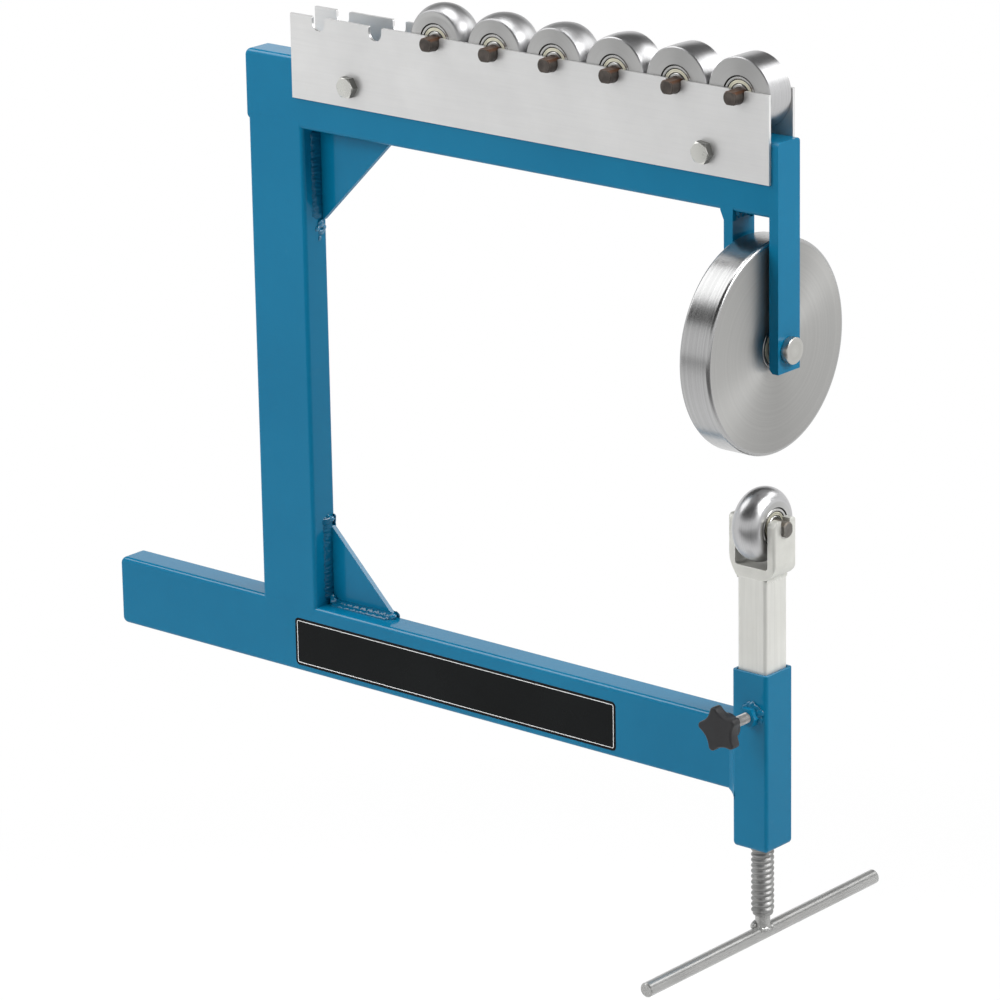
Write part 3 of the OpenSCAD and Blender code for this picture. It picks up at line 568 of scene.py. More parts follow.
panel_black = cloudy("panel_film_black", (9.0, 500.0, 160.0), (0.0016, 0.0022, 0.0024),
                     (0.0040, 0.0050, 0.0054), (0.22, 0.36), (0.03, 0.0002), rough_by="Specks",
                     Specular_IOR_Level=0.10)
panel_white = cloudy("panel_film_white", (20.0, 500.0, 160.0), (0.72, 0.73, 0.73), (0.82, 0.82, 0.82),
                     (0.30, 0.42), rough_by="Specks", Specular_IOR_Level=0.3)
panel_x0, panel_x1, panel_z0, panel_z1, panel_r, panel_bends = 0.0070, 0.4115, 0.0065, 0.0555, 0.0045, 8
levels = [(0.0, 0.00002), (0.0001, 0.00016), (0.0026, 0.00016), (0.0033, 0.00016)]
keyline_band = 2
loops = []
for inset, out in levels:
    outline = rounded_loop(panel_x0 + inset, panel_x1 - inset, panel_z0 + inset, panel_z1 - inset,
                           panel_r - inset, panel_bends)
    loops.append([(x, tube_side - out, z) for x, z in outline])
mesh = lofted("name_panel", loops, caps=(-1,), band=keyline_band, clean=False)
link_mesh("name_panel", mesh, [panel_black, panel_white], "frame")


# Upper wheel: a solid steel disc, turned all over, its tread polished and its flat faces left with a fine
# circular grain. It runs on two shielded ball bearings pressed into its sides.


def stood(at, axis):
    """The matrix that takes a piece made along Z to a place, along an axis."""
    turn = Vector(above).rotation_difference(Vector(axis)).to_matrix().to_4x4()
    return Matrix.Translation(Vector(at)) @ turn


def lathe(name, profile, at, axis, materials, body, steps=160, closed=True, picks=None):
    """A turned piece: a profile of (radius, height) points round an axis through a place."""
    sharpest_smooth = 32
    turns = [2 * math.pi * k / steps for k in range(steps)]
    verts = [(r * math.cos(t), r * math.sin(t), z) for t in turns for r, z in profile]
    n = len(profile)
    strips = n if closed else n - 1
    faces = [(k * n + j, (k + 1) % steps * n + j, (k + 1) % steps * n + (j + 1) % n, k * n + (j + 1) % n)
             for k in range(steps) for j in range(strips)]
    mesh = bpy.data.meshes.new(name)
    mesh.from_pydata(verts, [], faces)
    for face in mesh.polygons:
        face.material_index = picks[face.index % strips] if picks else 0
    tidy(mesh)
    return link_mesh(name, mesh, materials, body, sharpest_smooth, stood(at, axis))


# Circular tool marks about the piece's own axis: fine rings on faces and treads, and a coarser waviness
rings, rings_in, rings_out = effect(
    "Turned rings", {"Pitch Scale": 2600.0, "Wave Scale": 160.0}, ("Fine", "Wave"))
where = add(rings, "ShaderNodeTexCoord")["Object"]
parts = add(rings, "ShaderNodeSeparateXYZ", {0: where})
squares = [product(rings, parts[letter], 2.0, "POWER") for letter in "XY"]
radius = add(rings, "ShaderNodeMath", {0: product(rings, *squares, "ADD")}, operation="SQRT")[0]
swirl = add(rings, "ShaderNodeCombineXYZ", {"X": radius, "Y": parts["Z"]})[0]
faint = add(rings, "ShaderNodeVectorMath", {0: where, "Scale": 0.004}, operation="SCALE")[0]
shifted = add(rings, "ShaderNodeVectorMath", {0: swirl, 1: faint}, operation="ADD")[0]
for label, scale in (("Fine", "Pitch Scale"), ("Wave", "Wave Scale")):
    rings.links.new(grain(rings, shifted, rings_in[scale], 3.0, 0.6, 0.25, 0.75), rings_out.inputs[label])


def turned_steel(name, dark, pale, rough, anisotropic, bump, wave=170.0):
    """Bare turned steel: a grey metal with circular grain, its highlight stretched across the grain."""
    material, tree, shader = finish(name, Metallic=1.0, Anisotropic=anisotropic)
    speck_share, speck_tone = 0.10, tuple(0.6 * c for c in dark)
    marks = place(tree, rings, pitch_scale=2600.0, wave_scale=wave)
    haze = place(tree, cloud, broad_scale=22.0, fine_scale=600.0, speck_scale=110.0)
    tone = mixed(tree, marks["Wave"], dark, pale)
    tone = mixed(tree, ranged(tree, haze["Specks"], 0.0, speck_share), tone, speck_tone)
    surface(tree, shader, tone, ranged(tree, marks["Fine"], *rough), marks["Fine"], bump, 0.0001)
    if anisotropic:
        along = add(tree, "ShaderNodeTangent", direction_type="RADIAL", axis="Z")
        tree.links.new(along[0], shader.inputs["Tangent"])
    return material


wheel_face = turned_steel("wheel_face_steel", (0.370, 0.368, 0.360), (0.425, 0.423, 0.412), (0.30, 0.40),
                          0.75, 0.10, 420.0)
wheel_tread = turned_steel("wheel_tread_steel", (0.37, 0.37, 0.37), (0.48, 0.48, 0.48), (0.18, 0.27), 0.3,
                           0.08, 420.0)

wheel_lo, wheel_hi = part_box("upper_wheel")
wheel_at = (wheel_lo + wheel_hi) / 2
half = (wheel_hi.x - wheel_lo.x) / 2
rim = (wheel_hi.y - wheel_lo.y) / 2
races_lo, races_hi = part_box("wheel_outer_races")
press_gap, edge, mouth, seat_depth, seat_wall = 0.00002, 0.0032, 0.0012, 0.0125, 0.003
seat_r = (races_hi.y - races_lo.y) / 2 + press_gap
face_stops = (seat_r + mouth, rim * 0.5, rim - edge - 0.006, rim - edge - 0.0002)
lower = ([(r, -half) for r in face_stops]
         + arc(rim - edge, edge - half, edge, -90, 0, 10) + [(rim, edge - half + 0.0003), (rim, -half * 0.3)])
profile = ([(seat_r, seat_depth - half), (seat_r, mouth - half)] + lower
           + [(r, -z) for r, z in reversed(lower)] + [(seat_r, half - mouth), (seat_r, half - seat_depth)]
           + [(seat_r - seat_wall, half - seat_depth), (seat_r - seat_wall, seat_depth - half)])
face_points = {j for j, (r, z) in enumerate(profile) if abs(abs(z) - half) < 1e-6}
picks = [0 if j in face_points and (j + 1) % len(profile) in face_points else 1 for j in range(len(profile))]
piece = lathe("upper_wheel_turned", profile, wheel_at, right, [wheel_face, wheel_tread], "wheel",
              steps=256, picks=picks)
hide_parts("upper_wheel")


# Bearings: standard shielded ball bearings. Ground steel races with rolled edges, a cream chromate shield
# crimped into the outer race on each side, and fine gaps between them coloured near-black as painted shade.

race_steel = turned_steel("race_steel", (0.46, 0.46, 0.45), (0.56, 0.56, 0.55), (0.20, 0.30), 0.0, 0.03)
# Dull steel for spacers, circlips, nut and screw nose; on the wheel's bearing races its darker tone is
# painted shade
dull_and_shaded_steel = turned_steel("dull_and_shaded_steel", (0.30, 0.30, 0.30), (0.40, 0.40, 0.40), (0.30, 0.44), 0.0, 0.10)
shield_cream, tree, shader = finish("shield_chromate", Metallic=0.6)
marks = place(tree, rings, pitch_scale=1500.0, wave_scale=260.0)
haze = place(tree, cloud, broad_scale=160.0, fine_scale=900.0, speck_scale=700.0)
cream = mixed(tree, haze["Broad"], (0.60, 0.58, 0.46), (0.74, 0.72, 0.60))
cream = mixed(tree, ranged(tree, haze["Specks"], 0.0, 0.25), cream, (0.34, 0.31, 0.22))
surface(tree, shader, cream, ranged(tree, marks["Fine"], 0.28, 0.42), marks["Wave"], 0.12, 0.0002)
# Near-black for the narrow gaps round and inside the bearings: painted shade
gap_shade = cloudy("gap_shade", (300.0, 1500.0, 700.0), (0.006, 0.006, 0.006), (0.020, 0.018, 0.015),
                 (0.45, 0.70), Specular_IOR_Level=0.2)


def bearing_pair(name, inner_node, outer_node, axis, inner_body, outer_body, steel):
    """Both bearings of a wheel or anvil over their CAD races: outer races with shields, and inner races."""
    lo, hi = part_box(outer_node)
    at = (lo + hi) / 2
    k = max(range(3), key=lambda i: abs(axis[i]))
    across = (k + 1) % 3
    outer_r = (hi[across] - lo[across]) / 2
    inner_lo, inner_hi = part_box(inner_node)
    inner_r = (inner_hi[across] - inner_lo[across]) / 2
    outer_wall, inner_wall, shield_gap, large_r, wide, narrow = 0.0026, 0.0028, 0.0008, 0.019, 0.012, 0.011
    race, bore, lip = outer_r - outer_wall, inner_r - inner_wall, inner_r + shield_gap
    h = (wide if outer_r > large_r else narrow) / 2
    c = 0.0005
    ring = [(race, -h), (outer_r - c, -h), (outer_r, c - h), (outer_r, h - c), (outer_r - c, h),
            (race + 0.0002, h), (race, h - 0.0002)]
    crimp = [(race, h - 0.0009), (race - 0.0008, h - 0.0009)]
    dish = [(race - 0.0009, h - 0.00050), (race - 0.0014, h - 0.00038), (race - 0.0020, h - 0.00040),
            (race - 0.0024, h - 0.00062), (lip + 0.0006, h - 0.00062), (lip, h - 0.00050)]
    crevice = [(lip, h - 0.0014), (inner_r + 0.0002, h - 0.0014), (inner_r + 0.0002, h - 0.0018),
               (race, h - 0.0018)]
    outer = ring + crimp + dish + crevice
    # The crimp and the crevice take the near-black painted shade
    layers = [0] * (len(ring) - 1) + [2] * (len(crimp) + 1) + [1] * (len(dish) - 1) + [2] * (len(crevice) + 1)
    inner = [(bore, c - h), (bore + c, -h), (inner_r - c, -h), (inner_r, c - h), (inner_r, h - c),
             (inner_r - c, h), (bore + c, h), (bore, h - c)]
    for side, tag in ((-1, "rear"), (1, "front")):
        mid = at + Vector(axis) * side * ((hi[k] - lo[k]) / 2 - h)
        outer_piece = lathe(f"{name}_outer_race_{tag}", [(r, side * z) for r, z in outer], mid, axis,
                            [steel, shield_cream, gap_shade], outer_body, steps=96,
                            picks=layers)
        inner_piece = lathe(f"{name}_inner_race_{tag}", [(r, side * z) for r, z in inner], mid, axis,
                            [steel], inner_body, steps=96)
        if side < 0:
            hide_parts(outer_node)
            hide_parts(inner_node)


# The wheel's races take the darker dull steel as painted shade beside the front fork bar
bearing_pair("wheel", "wheel_inner_races", "wheel_outer_races", right, "frame", "wheel", dull_and_shaded_steel)


# Wheel axle: a bright turned pin with a flat, chamfered round head on the front fork bar, held by a circlip
# behind the rear bar. Spacer tubes keep the wheel in the middle of the fork.

bright_pin = turned_steel("bright_pin_steel", (0.46, 0.455, 0.43), (0.55, 0.545, 0.52), (0.26, 0.36),
                          0.0, 0.03)
axle_lo, axle_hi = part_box("wheel_axle")
head_r = (axle_hi.y - axle_lo.y) / 2
front = axle_hi.x - wheel_at.x
rear = axle_lo.x - wheel_at.x
shank, head_edge, clear, lead = 0.00848, 0.0011, 0.00002, 0.001
seat = front_hi.x - wheel_at.x
profile = ([(0.0, front), (head_r * 0.55, front - clear)]
           + arc(head_r - head_edge, front - head_edge, head_edge, 90, 0, 6)
           + [(head_r, seat + 0.0007), (head_r - 0.0005, seat + clear), (shank, seat + clear),
              (shank, rear + lead), (shank - lead, rear), (0.0, rear)])
piece = lathe("wheel_axle_turned", profile, wheel_at, right, [bright_pin], "frame",
              steps=96, closed=False)
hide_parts("wheel_axle")
dress(["wheel_spacers", "axle_circlip"], dull_and_shaded_steel, 0.0002, 1)


# Rack: two plates of pale zinc-coated sheet with U-shaped slots, sheared to size, held to the sides of the
# top arm by two long hexagon bolts with nuts on the far side.

# Straight drawing or rolling lines: noise stretched along one of the object's axes
streaks, streaks_in, streaks_out = effect(
    "Rolling lines", {"Along X": 6.0, "Along Y": 6.0, "Along Z": 6.0}, ("Line",))
where = add(streaks, "ShaderNodeTexCoord")["Object"]
parts = add(streaks, "ShaderNodeSeparateXYZ", {0: where})
stretched = {letter: product(streaks, parts[letter], streaks_in["Along " + letter]) for letter in "XYZ"}
joined = add(streaks, "ShaderNodeCombineXYZ", stretched)[0]
streaks.links.new(grain(streaks, joined, 1.0, 4.0, 0.6, 0.28, 0.72), streaks_out.inputs["Line"])


def plated(name, dark, pale, stain, metallic, rough, along, bump, edge_tone, lines_shown=0.22):
    """Rolled or plated steel: fine lines along one direction, cloudy tone, stains and bright rubbed edges."""
    material, tree, shader = finish(name, Metallic=metallic)
    stain_share, line_tone = 0.35, tuple(0.8 * c for c in dark)
    lines = place(tree, streaks, along_x=along[0], along_y=along[1], along_z=along[2])
    haze = place(tree, cloud, broad_scale=14.0, fine_scale=500.0, speck_scale=70.0)
    edge_rub_and_sheen = place(tree, edges, reach=0.0009, break_scale=200.0)
    tone = mixed(tree, haze["Broad"], dark, pale)
    tone = mixed(tree, ranged(tree, lines["Line"], 0.0, lines_shown), tone, line_tone)
    tone = mixed(tree, ranged(tree, haze["Specks"], 0.0, stain_share), tone, stain)
    tone = mixed(tree, edge_rub_and_sheen["Edge"], tone, edge_tone)
    surface(tree, shader, tone, ranged(tree, lines["Line"], *rough), lines["Line"], bump, 0.0002)
    return material


sheet = plated("rack_sheet", (0.690, 0.690, 0.688), (0.765, 0.765, 0.760), (0.70, 0.68, 0.64), 0.85,
               (0.36, 0.46), (14.0, 14.0, 420.0), 0.03, (0.72, 0.72, 0.72), 0.10)
dress(["near_rack_plate", "far_rack_plate"], sheet, 0.0003)

zinc = plated("bright_zinc", (0.62, 0.62, 0.59), (0.74, 0.74, 0.70), (0.44, 0.42, 0.36), 1.0, (0.22, 0.34),
              (60.0, 60.0, 60.0), 0.06, (0.84, 0.84, 0.82))
# Much darker zinc for the flats of the hexagon heads and nuts
dark_flat_zinc = plated("dark_zinc", (0.16, 0.16, 0.15), (0.24, 0.24, 0.23), (0.10, 0.09, 0.08), 0.7,
                    (0.34, 0.50), (60.0, 400.0, 60.0), 0.10, (0.52, 0.52, 0.50))


def polar(loops, angles):
    """Loops of (radius, height) as points at angles round Z."""
    return [[(r * math.cos(t), r * math.sin(t), z) for (r, z), t in zip(loop, angles)] for loop in loops]


def hexagon(name, across, height, at, axis, bore=0.0, both=False, turn=0.0):
    """A hexagon head or nut: flats cut on a cone-chamfered blank, so that each flat ends in a curve."""
    count, mouth, sharpest_smooth = 72, 0.0006, 24
    flat_r = across / 2
    face_r = flat_r * 0.955
    slope = math.tan(math.radians(30))
    angles = [2 * math.pi * k / count for k in range(count)]
    radii = [flat_r / math.cos((t + math.pi / 6) % (math.pi / 3) - math.pi / 6) for t in angles]
    cuts = [(r - face_r) * slope for r in radii]
    loops = [[(face_r, 0.0)] * count, [(r, cut if both else 0.0) for r, cut in zip(radii, cuts)],
             [(r, height - cut) for r, cut in zip(radii, cuts)], [(face_r, height)] * count]
    if bore:
        hole = ((bore + mouth, height), (bore, height - mouth), (bore, mouth), (bore + mouth, 0.0))
        loops += [[point] * count for point in hole] + [loops[0]]
    else:
        loops.insert(0, [(0.0, 0.0)] * count)
        loops += [[point] * count for point in ((face_r * 0.5, height + 0.0001), (0.0, height + 0.0002))]
    mesh = lofted(name, polar(loops, [t + turn for t in angles]), caps=(), band=1 if bore else 2,
                  matrix=stood(at, axis))
    return link_mesh(name, mesh, [zinc, dark_flat_zinc], "frame", sharpest_smooth)


def threaded(name, crest, root, pitch, z0, z1, at, axis, body, material, around, per_turn, rounded=1.0):
    """A rod with a right-hand screw thread from z0 to z1 along its axis, closed by chamfered ends."""
    end_r, run_out = root * 0.55, 0.6 * pitch
    rows = max(4, int(round((z1 - z0) / pitch * per_turn)))
    loops = [[(end_r, z0)] * around]
    for i in range(rows + 1):
        z = z0 + (z1 - z0) * i / rows
        fade = max(0.0, min(1.0, (z - z0) / run_out, (z1 - z) / run_out))
        waves = (0.5 + 0.5 * math.cos(2 * math.pi * (z / pitch - j / around)) for j in range(around))
        loops.append([(root + (crest - root) * fade * wave ** rounded, z) for wave in waves])
    loops.append([(end_r, z1)] * around)
    angles = [2 * math.pi * j / around for j in range(around)]
    mesh = lofted(name, polar(loops, angles), clean=False, matrix=stood(at, axis))
    return link_mesh(name, mesh, [material], body)


bolts_lo, bolts_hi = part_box("rack_bolts")
nuts_lo, nuts_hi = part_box("rack_nuts")
plate_lo, plate_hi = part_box("near_rack_plate")
head_across = bolts_hi.z - bolts_lo.z
bolt_z = (bolts_lo.z + bolts_hi.z) / 2
bolt_half = head_across / math.sqrt(3)
bolt_crest, bolt_root, bolt_pitch, nut_bore, nut_turn = 0.00598, 0.0052, 0.00175, 0.0060, 0.3
for tag, x, turn in (("rear", bolts_lo.x + bolt_half, 0.52), ("front", bolts_hi.x - bolt_half, 0.40)):
    head = hexagon(f"rack_bolt_head_{tag}", head_across, plate_lo.y - bolts_lo.y, (x, plate_lo.y, bolt_z),
                   to_us, turn=turn)
    nut = hexagon(f"rack_nut_{tag}", head_across, nuts_hi.y - nuts_lo.y, (x, nuts_lo.y, bolt_z), away,
                  bore=nut_bore, both=True, turn=turn + nut_turn)
    threaded(f"rack_bolt_thread_{tag}", bolt_crest, bolt_root, bolt_pitch, plate_hi.y + 0.001, bolts_hi.y,
             (x, 0, bolt_z), away, "frame", zinc, around=32, per_turn=8)
    if tag == "rear":
        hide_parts("rack_bolts")
        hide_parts("rack_nuts")


# Anvils: hardened steel rollers, each turned to its own crown and polished on the tread, with a flat satin
# face round the bearing. Six are stored in the rack, one runs in the yoke.

anvil_face = turned_steel("anvil_face_steel", (0.475, 0.475, 0.47), (0.495, 0.495, 0.49), (0.30, 0.38), 0.6,
                          0.06, 500.0)
anvil_tread = turned_steel("anvil_tread_steel", (0.46, 0.46, 0.465), (0.55, 0.55, 0.555), (0.26, 0.35), 0.2,
                           0.06, 600.0)
crown_steel = turned_steel("crowned_anvil_steel", (0.40, 0.40, 0.405), (0.48, 0.48, 0.485), (0.36, 0.46), 0.2,
                           0.06, 600.0)


def anvil(name, node, crown, axis, body, steel):
    """A roller over its CAD node: bearing seats, flat faces, a small edge break and the crown's arc."""
    lo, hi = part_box(node)
    r, h, seat, land, seat_depth, broken, arc_steps = 0.035, 0.0155, 0.0175, 0.0145, 0.0115, 0.0008, 32
    edge_r = math.sqrt(crown ** 2 - h ** 2) + r - crown
    limit = math.degrees(math.asin((h - broken) / crown))
    tread = arc(r - crown, 0.0, crown, -limit, limit, arc_steps)
    low = [(seat, seat_depth - h), (seat, 0.0010 - h), (seat + 0.0009, -h), (seat + 0.003, -h),
           ((seat + edge_r) / 2, -h), (edge_r - broken, -h)]
    profile = low + tread + [(a, -z) for a, z in reversed(low)]
    profile += [(land, h - seat_depth), (land, seat_depth - h)]
    picks = []
    # The bearing seat's faces take the near-black painted shade of the gap round the bearing
    for a, b in zip(profile, profile[1:] + profile[:1]):
        in_seat = min(a[0], b[0]) < seat + 0.0005
        flat = a[1] == b[1] and abs(a[1]) == h
        picks.append(2 if in_seat else 0 if flat else 1)
    piece = lathe(name, profile, (lo + hi) / 2, axis, [anvil_face, steel, gap_shade], body,
                  steps=192, picks=picks)
    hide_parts(node)


round_crown = 0.05
for k, crown in enumerate((0.025, 0.035, 0.046, 0.084, 0.25, 2.0), 1):
    tag = f"anvil_{k}"
    anvil(f"{tag}_turned", tag, crown, away, tag, crown_steel if crown < round_crown else anvil_tread)
    bearing_pair(tag, f"{tag}_inner_races", f"{tag}_outer_races", away, f"{tag}_axle", tag, race_steel)
anvil("working_anvil_turned", "working_anvil", 0.0165, right, "working_anvil", anvil_tread)
bearing_pair("working", "working_inner_races", "working_outer_races", right, "post", "working_anvil",
             race_steel)


# Anvil axles: round bar with two flats milled at each end, oiled black oxide that has rusted a little on
# the ends and along the flats. The working axle's flats are rubbed nearly bare.


def oiled(name, dark, pale, rust, edge_wear_and_sheen):
    """Oxide-blackened bar: mottled tone, rust in spots and on what faces up, edges rubbed back to steel."""
    return cloudy(name, (110.0, 900.0, 260.0), dark, pale, (0.36, 0.60), (0.18, 0.0003), specks=(0.5, rust),
                  edge_rub_and_sheen=(0.0010, 400.0, edge_wear_and_sheen), top=(0.65, rust), Metallic=0.5)


stored_pin = oiled("black_oxide", (0.040, 0.034, 0.030), (0.095, 0.080, 0.070), (0.150, 0.056, 0.022),
                   (0.20, 0.18, 0.16))
working_pin = oiled("worn_oxide", (0.100, 0.094, 0.086), (0.170, 0.160, 0.148), (0.150, 0.120, 0.088),
                    (0.42, 0.40, 0.36))
dress([f"anvil_{k}_axle" for k in range(1, 7)], stored_pin, 0.0005)
dress(["working_axle"], working_pin, 0.0005)


# Post and yoke: a square steel tube that slides in the sleeve, with a U-shaped cast yoke welded on top,
# dressed smooth and zinc plated together, so that the metal is pale and slightly yellow.

post_zinc = plated("post_zinc", (0.645, 0.645, 0.610), (0.725, 0.725, 0.690), (0.54, 0.51, 0.42), 0.55,
                   (0.32, 0.46), (240.0, 240.0, 7.0), 0.05, (0.80, 0.80, 0.77), 0.45)
cast_zinc = cloudy("cast_zinc", (45.0, 700.0, 120.0), (0.560, 0.560, 0.525), (0.650, 0.650, 0.612),
                   (0.34, 0.50), (0.14, 0.0004), specks=(0.4, (0.48, 0.46, 0.39)),
                   edge_rub_and_sheen=(0.0018, 160.0, (0.84, 0.84, 0.81)), Metallic=0.5)
dress(["post_tube", "post_foot"], post_zinc, 0.0004)
dress(["yoke"], cast_zinc, 0.0016, 4)
yoke_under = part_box("yoke")[0].z
post_lo, post_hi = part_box("post_tube")
seam_half = (post_hi.y - post_lo.y) / 2 - 0.004
lump_r, lump_count, lump_uneven, pressed = 0.0030, 10, 0.0008, 0.28
for tag, x, out in (("front", post_hi.x, right), ("rear", post_lo.x, left)):
    lumps = []
    for k in range(lump_count):
        along = seam_half * (2 * k / (lump_count - 1) - 1)
        lumps.append(((x, along, yoke_under + lump_uneven * math.sin(1.9 * k)), lump_r, out))
    row = blobs(f"weld_yoke_{tag}", lumps, cast_zinc, "post")
    for vertex in row.data.vertices:
        vertex.co.x = x + pressed * (vertex.co.x - x)


# Adjuster: a lifting screw with a coarse rolled thread, plain below, welded to a drawn round bar that is
# turned by hand. Its nose and circlip sit in the post's foot, its nut in the sleeve.

drawn = plated("drawn_bar", (0.33, 0.33, 0.322), (0.42, 0.42, 0.412), (0.22, 0.21, 0.19), 0.60, (0.22, 0.34),
               (300.0, 7.0, 300.0), 0.08, (0.66, 0.66, 0.65))
rolled = cloudy("rolled_thread", (70.0, 900.0, 300.0), (0.26, 0.26, 0.255), (0.36, 0.36, 0.355), (0.42, 0.56),
                (0.10, 0.0002), specks=(0.5, (0.16, 0.15, 0.14)), Metallic=0.9)

screw_lo, screw_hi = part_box("adjuster_screw")
bar_lo, bar_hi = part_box("tee_bar")
screw_x = (screw_lo.x + screw_hi.x) / 2
screw_r = (screw_hi.x - screw_lo.x) / 2
screw_at = (screw_x, 0, 0)
bar_z = (bar_lo.z + bar_hi.z) / 2
thread_low = bar_z + 0.019
thread_high = post_lo.z - 0.0003
screw_root, screw_pitch, overlap, nose_r, nose_edge, stub_r = 0.0092, 0.0055, 0.001, 0.006, 0.0008, 0.0070
thread = threaded("adjuster_thread", screw_r, screw_root, screw_pitch, thread_low, thread_high, screw_at,
                  above, "adjuster", rolled, around=48, per_turn=14, rounded=0.8)
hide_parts("adjuster_screw")
profile = [(0.0, thread_high - overlap), (nose_r, thread_high - overlap), (nose_r, screw_hi.z - nose_edge),
           (nose_r - nose_edge, screw_hi.z), (0.0, screw_hi.z)]
lathe("adjuster_nose", profile, screw_at, above, [dull_and_shaded_steel], "adjuster", steps=48, closed=False)
flare = arc(0.0118, bar_z + 0.0098, 0.0048, 180, 245, 10)
profile = ([(0.0, thread_low + overlap), (stub_r, thread_low + overlap)] + flare
           + [(0.0060, bar_z + overlap), (0.0, bar_z + overlap)])
lathe("adjuster_stub", profile, screw_at, above, [drawn], "adjuster", steps=64, closed=False)
dress(["tee_bar"], drawn, 0.0006, 3)
dress(["screw_circlip", "adjuster_nut"], dull_and_shaded_steel, 0.0002, 1)
lumps = [((screw_x - 0.0052, -0.0062, bar_z + 0.0082), 0.0044, (-0.5, -0.5, 0.7)),
         ((screw_x + 0.0040, -0.0068, bar_z + 0.0058), 0.0030, (0.6, -0.4, 0.7)),
         ((screw_x + 0.0052, 0.0064, bar_z + 0.0060), 0.0036, (0.5, 0.4, 0.7)),
         ((screw_x - 0.0050, 0.0066, bar_z + 0.0064), 0.0034, (-0.5, 0.4, 0.7))]
blobs("weld_tee", lumps, drawn, "adjuster")


# Lock: a plated stud screwed through the nut on the sleeve, with a five-lobed star knob moulded in black
# plastic over its outer end.

lock_x, lock_z = stud_mid.x, stud_mid.z
stud_crest, stud_root, stud_pitch = 0.0050, 0.0042, 0.0015
stud = threaded("lock_stud_thread", stud_crest, stud_root, stud_pitch, -stud_hi.y, -stud_lo.y,
                (lock_x, 0, lock_z), to_us, "lock_stud", drawn, around=36, per_turn=8)
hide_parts("lock_stud")

moulded = cloudy("moulded_black", (60.0, 2400.0, 420.0), (0.013, 0.013, 0.014), (0.020, 0.020, 0.022),
                 (0.40, 0.54), (0.10, 0.0002), edge_rub_and_sheen=(0.0012, 300.0, (0.060, 0.060, 0.062)),
                 Specular_IOR_Level=0.35)

lobes, knob_r, lobe_r, hollow, bends = 5, 0.022, 0.004, 0.0060, 12
first_lobe = math.radians(33)
half_step = math.pi / lobes
reach = knob_r - lobe_r
valley = knob_r - hollow
run, rise = reach * math.cos(half_step), reach * math.sin(half_step)
bend = valley - lobe_r
hollow_at = (run ** 2 + rise ** 2 - bend ** 2) / (2 * (run - bend))
touch = math.atan2(rise, hollow_at - run)


def heading(t):
    """The unit vector at an angle in the knob's plane."""
    return Vector((math.cos(t), math.sin(t)))


def star_loop(inset, y):
    """The star's outline moved inwards by inset: lobe arcs and hollow arcs that touch."""
    loop = []
    sweep = half_step + touch
    for k in range(lobes):
        tip = first_lobe + 2 * k * half_step
        for j in range(bends + 1):
            turn = tip - sweep + 2 * sweep * j / bends
            loop.append(heading(tip) * reach + heading(turn) * (lobe_r - inset))
        gap = tip + half_step
        for j in range(1, bends):
            turn = gap + math.pi + touch - 2 * touch * j / bends
            loop.append(heading(gap) * hollow_at + heading(turn) * (hollow_at - valley + inset))
    return [(lock_x + p.x, y, lock_z + p.y) for p in loop]


star_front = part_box("lock_knob")[0].y
star_back = star_front + 0.011
brow, foot, face_inset = 0.0020, 0.0012, 0.0031
levels = ([(face_inset, star_front)] + arc(brow, star_front + brow, brow, -90, -180, 6)
          + arc(foot, star_back - foot, foot, 180, 90, 4))
loops = [star_loop(inset, y) for inset, y in levels]
knob = link_mesh("star_knob", lofted("star_knob", loops), [moulded], "lock_knob")
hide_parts("lock_knob")
hub_r, hub_end, hub_len, hub_bore, hub_taper, hub_sunk = 0.0128, 0.0014, 0.0095, 0.0051, 0.0004, 0.0005
profile = ([(hub_bore, 0.0)] + arc(hub_r - hub_taper - hub_end, hub_end, hub_end, -90, 0, 6)
           + [(hub_r, hub_len), (hub_bore, hub_len)])
hub_at = (lock_x, star_back - hub_sunk + hub_len, lock_z)
lathe("star_knob_hub", profile, hub_at, to_us, [moulded], "lock_knob", steps=64)


# Studio: a pale floor well below the machine that keeps a faint shadow near it, a white backdrop all round
# that metal mirrors with a dark ceiling, and five large soft lamps: front, left, behind, right and top.


def seen_rays(tree):
    """1 for rays that show the background (camera, mirror, glass), and 1 for rays off a mirror alone."""
    ray = add(tree, "ShaderNodeLightPath")
    first = product(tree, ray["Is Camera Ray"], ray["Is Transmission Ray"], "MAXIMUM")
    return product(tree, first, ray["Is Glossy Ray"], "MAXIMUM"), ray["Is Glossy Ray"]


floor_z, floor_half = cad_box[0][2] - 0.35, 6.0
white, front_way, below_it = (1.0, 1.0, 1.0, 1.0), (0.647, -0.762, 0.0), (0.35, 0.0, floor_z)
dim_from, dim_to, dim_level, shade_from, shade_to, shade_level = 0.9, 1.7, 0.2, 0.5, 1.3, 0.5
ceiling_from, ceiling_to, ceiling_level, fill_level = 0.335, 0.385, 0.06, 0.24
floor_mesh = bpy.data.meshes.new("floor")
corners = ((-1, -1), (1, -1), (1, 1), (-1, 1))
floor_mesh.from_pydata([(x * floor_half, y * floor_half, floor_z) for x, y in corners], [], [(0, 1, 2, 3)])
floor = bpy.data.objects.new("floor", floor_mesh)
bpy.context.scene.collection.objects.link(floor)
paper, tree, shader = finish("floor_paper", Base_Color=(0.80, 0.80, 0.80, 1.0), Roughness=0.9)
seen, glossy = seen_rays(tree)
spot = add(tree, "ShaderNodeNewGeometry")["Position"]
ahead = add(tree, "ShaderNodeVectorMath", {0: spot, 1: front_way}, operation="DOT_PRODUCT")["Value"]
unlit = product(tree, ranged(tree, ahead, 0.0, 1.0, dim_from, dim_to), glossy)
glow = add(tree, "ShaderNodeEmission", {"Strength": ranged(tree, unlit, 1.0, dim_level)}, color=white)
apart = add(tree, "ShaderNodeVectorMath", {0: spot, 1: below_it}, operation="DISTANCE")["Value"]
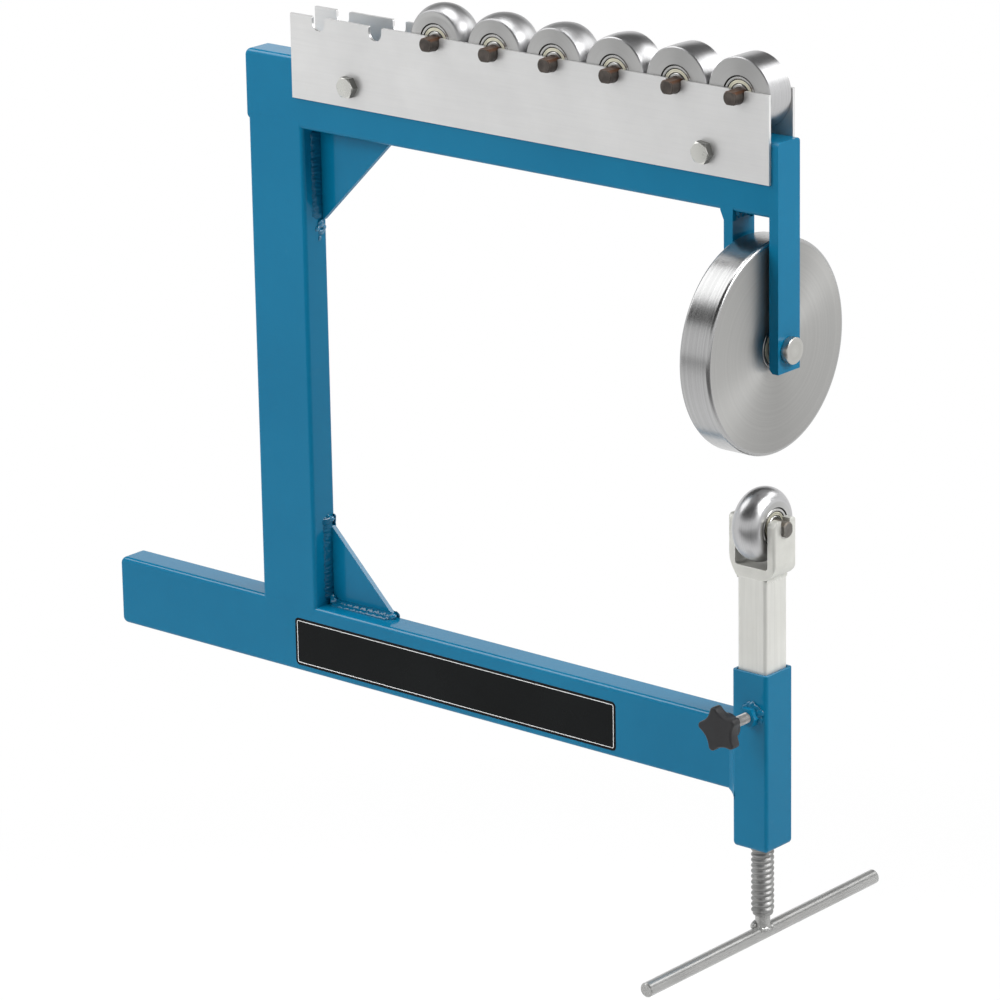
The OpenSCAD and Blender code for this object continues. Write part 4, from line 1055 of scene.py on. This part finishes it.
shown = product(tree, seen, ranged(tree, apart, shade_level, 1.0, shade_from, shade_to))
blend = add(tree, "ShaderNodeMixShader", {0: shown, 1: shader.outputs[0], 2: glow[0]})
tree.links.new(blend[0], tree.nodes["Material Output"].inputs["Surface"])
floor_mesh.materials.append(paper)

world = bpy.data.worlds.new("studio")
bpy.context.scene.world = world
world.use_nodes = True
tree = world.node_tree
back = tree.nodes["Background"]
back.inputs["Color"].default_value = white
seen, glossy = seen_rays(tree)
way = add(tree, "ShaderNodeTexCoord")["Generated"]
height = add(tree, "ShaderNodeSeparateXYZ", {0: way})["Z"]
ceiling = product(tree, ranged(tree, height, 0.0, 1.0, ceiling_from, ceiling_to), glossy)
level = product(tree, ranged(tree, seen, fill_level, 1.0), ranged(tree, ceiling, 1.0, ceiling_level))
tree.links.new(level, back.inputs["Strength"])


def lamp(name, at, target, size, power, mirrored=True):
    """A rectangular softbox aimed at a point; the bright metal may mirror it or not."""
    light = bpy.data.lights.new(name, "AREA")
    light.shape = "RECTANGLE"
    light.size, light.size_y = size
    light.energy = power
    piece = bpy.data.objects.new(name, light)
    piece.location = at
    piece.visible_glossy = mirrored
    piece.rotation_euler = (Vector(target) - Vector(at)).to_track_quat("-Z", "Y").to_euler()
    bpy.context.scene.collection.objects.link(piece)


lamp("softbox_front", (-1.20, -2.75, 2.10), (0.30, 0, 0.3), (2.6, 1.8), 94, mirrored=False)
lamp("softbox_left", (-1.30, -0.75, 2.25), (0.30, 0, 0.35), (1.5, 1.9), 21)
lamp("softbox_behind", (1.29, 1.87, 1.86), (0.38, 0, 0.66), (1.2, 1.0), 11)
lamp("softbox_right", (2.50, 0.50, 1.90), (0.3, 0, 0.3), (1.4, 1.6), 64)
lamp("softbox_top", (0.25, 0.10, 3.20), (0.25, 0.099, 0.0), (1.8, 1.4), 42)

# Camera: the photograph's place, fitted to the frame's straight edges
azimuth, elevation, roll = math.radians(40.311), math.radians(17.866), math.radians(-0.991)
aim, distance = Vector((0.260378, 0.0, 0.221414)), 4.9897
flat_way = Vector((math.sin(azimuth), -math.cos(azimuth), 0.0))
toward = flat_way * math.cos(elevation) + Vector(above) * math.sin(elevation)
level_right = Vector((math.cos(azimuth), math.sin(azimuth), 0.0))
level_up = toward.cross(level_right)
rolled_right = level_right * math.cos(roll) + level_up * math.sin(roll)
rolled_up = level_up * math.cos(roll) - level_right * math.sin(roll)
lens = bpy.data.cameras.new("camera")
lens.sensor_width = 36.0
lens.lens = 189.747
lens.clip_end = 50.0
camera = bpy.data.objects.new("camera", lens)
turn = Matrix((rolled_right, rolled_up, toward)).transposed().to_4x4()
camera.matrix_world = Matrix.Translation(aim + toward * distance) @ turn
bpy.context.scene.collection.objects.link(camera)
bpy.context.scene.camera = camera
bpy.context.scene.view_settings.view_transform = "Standard"
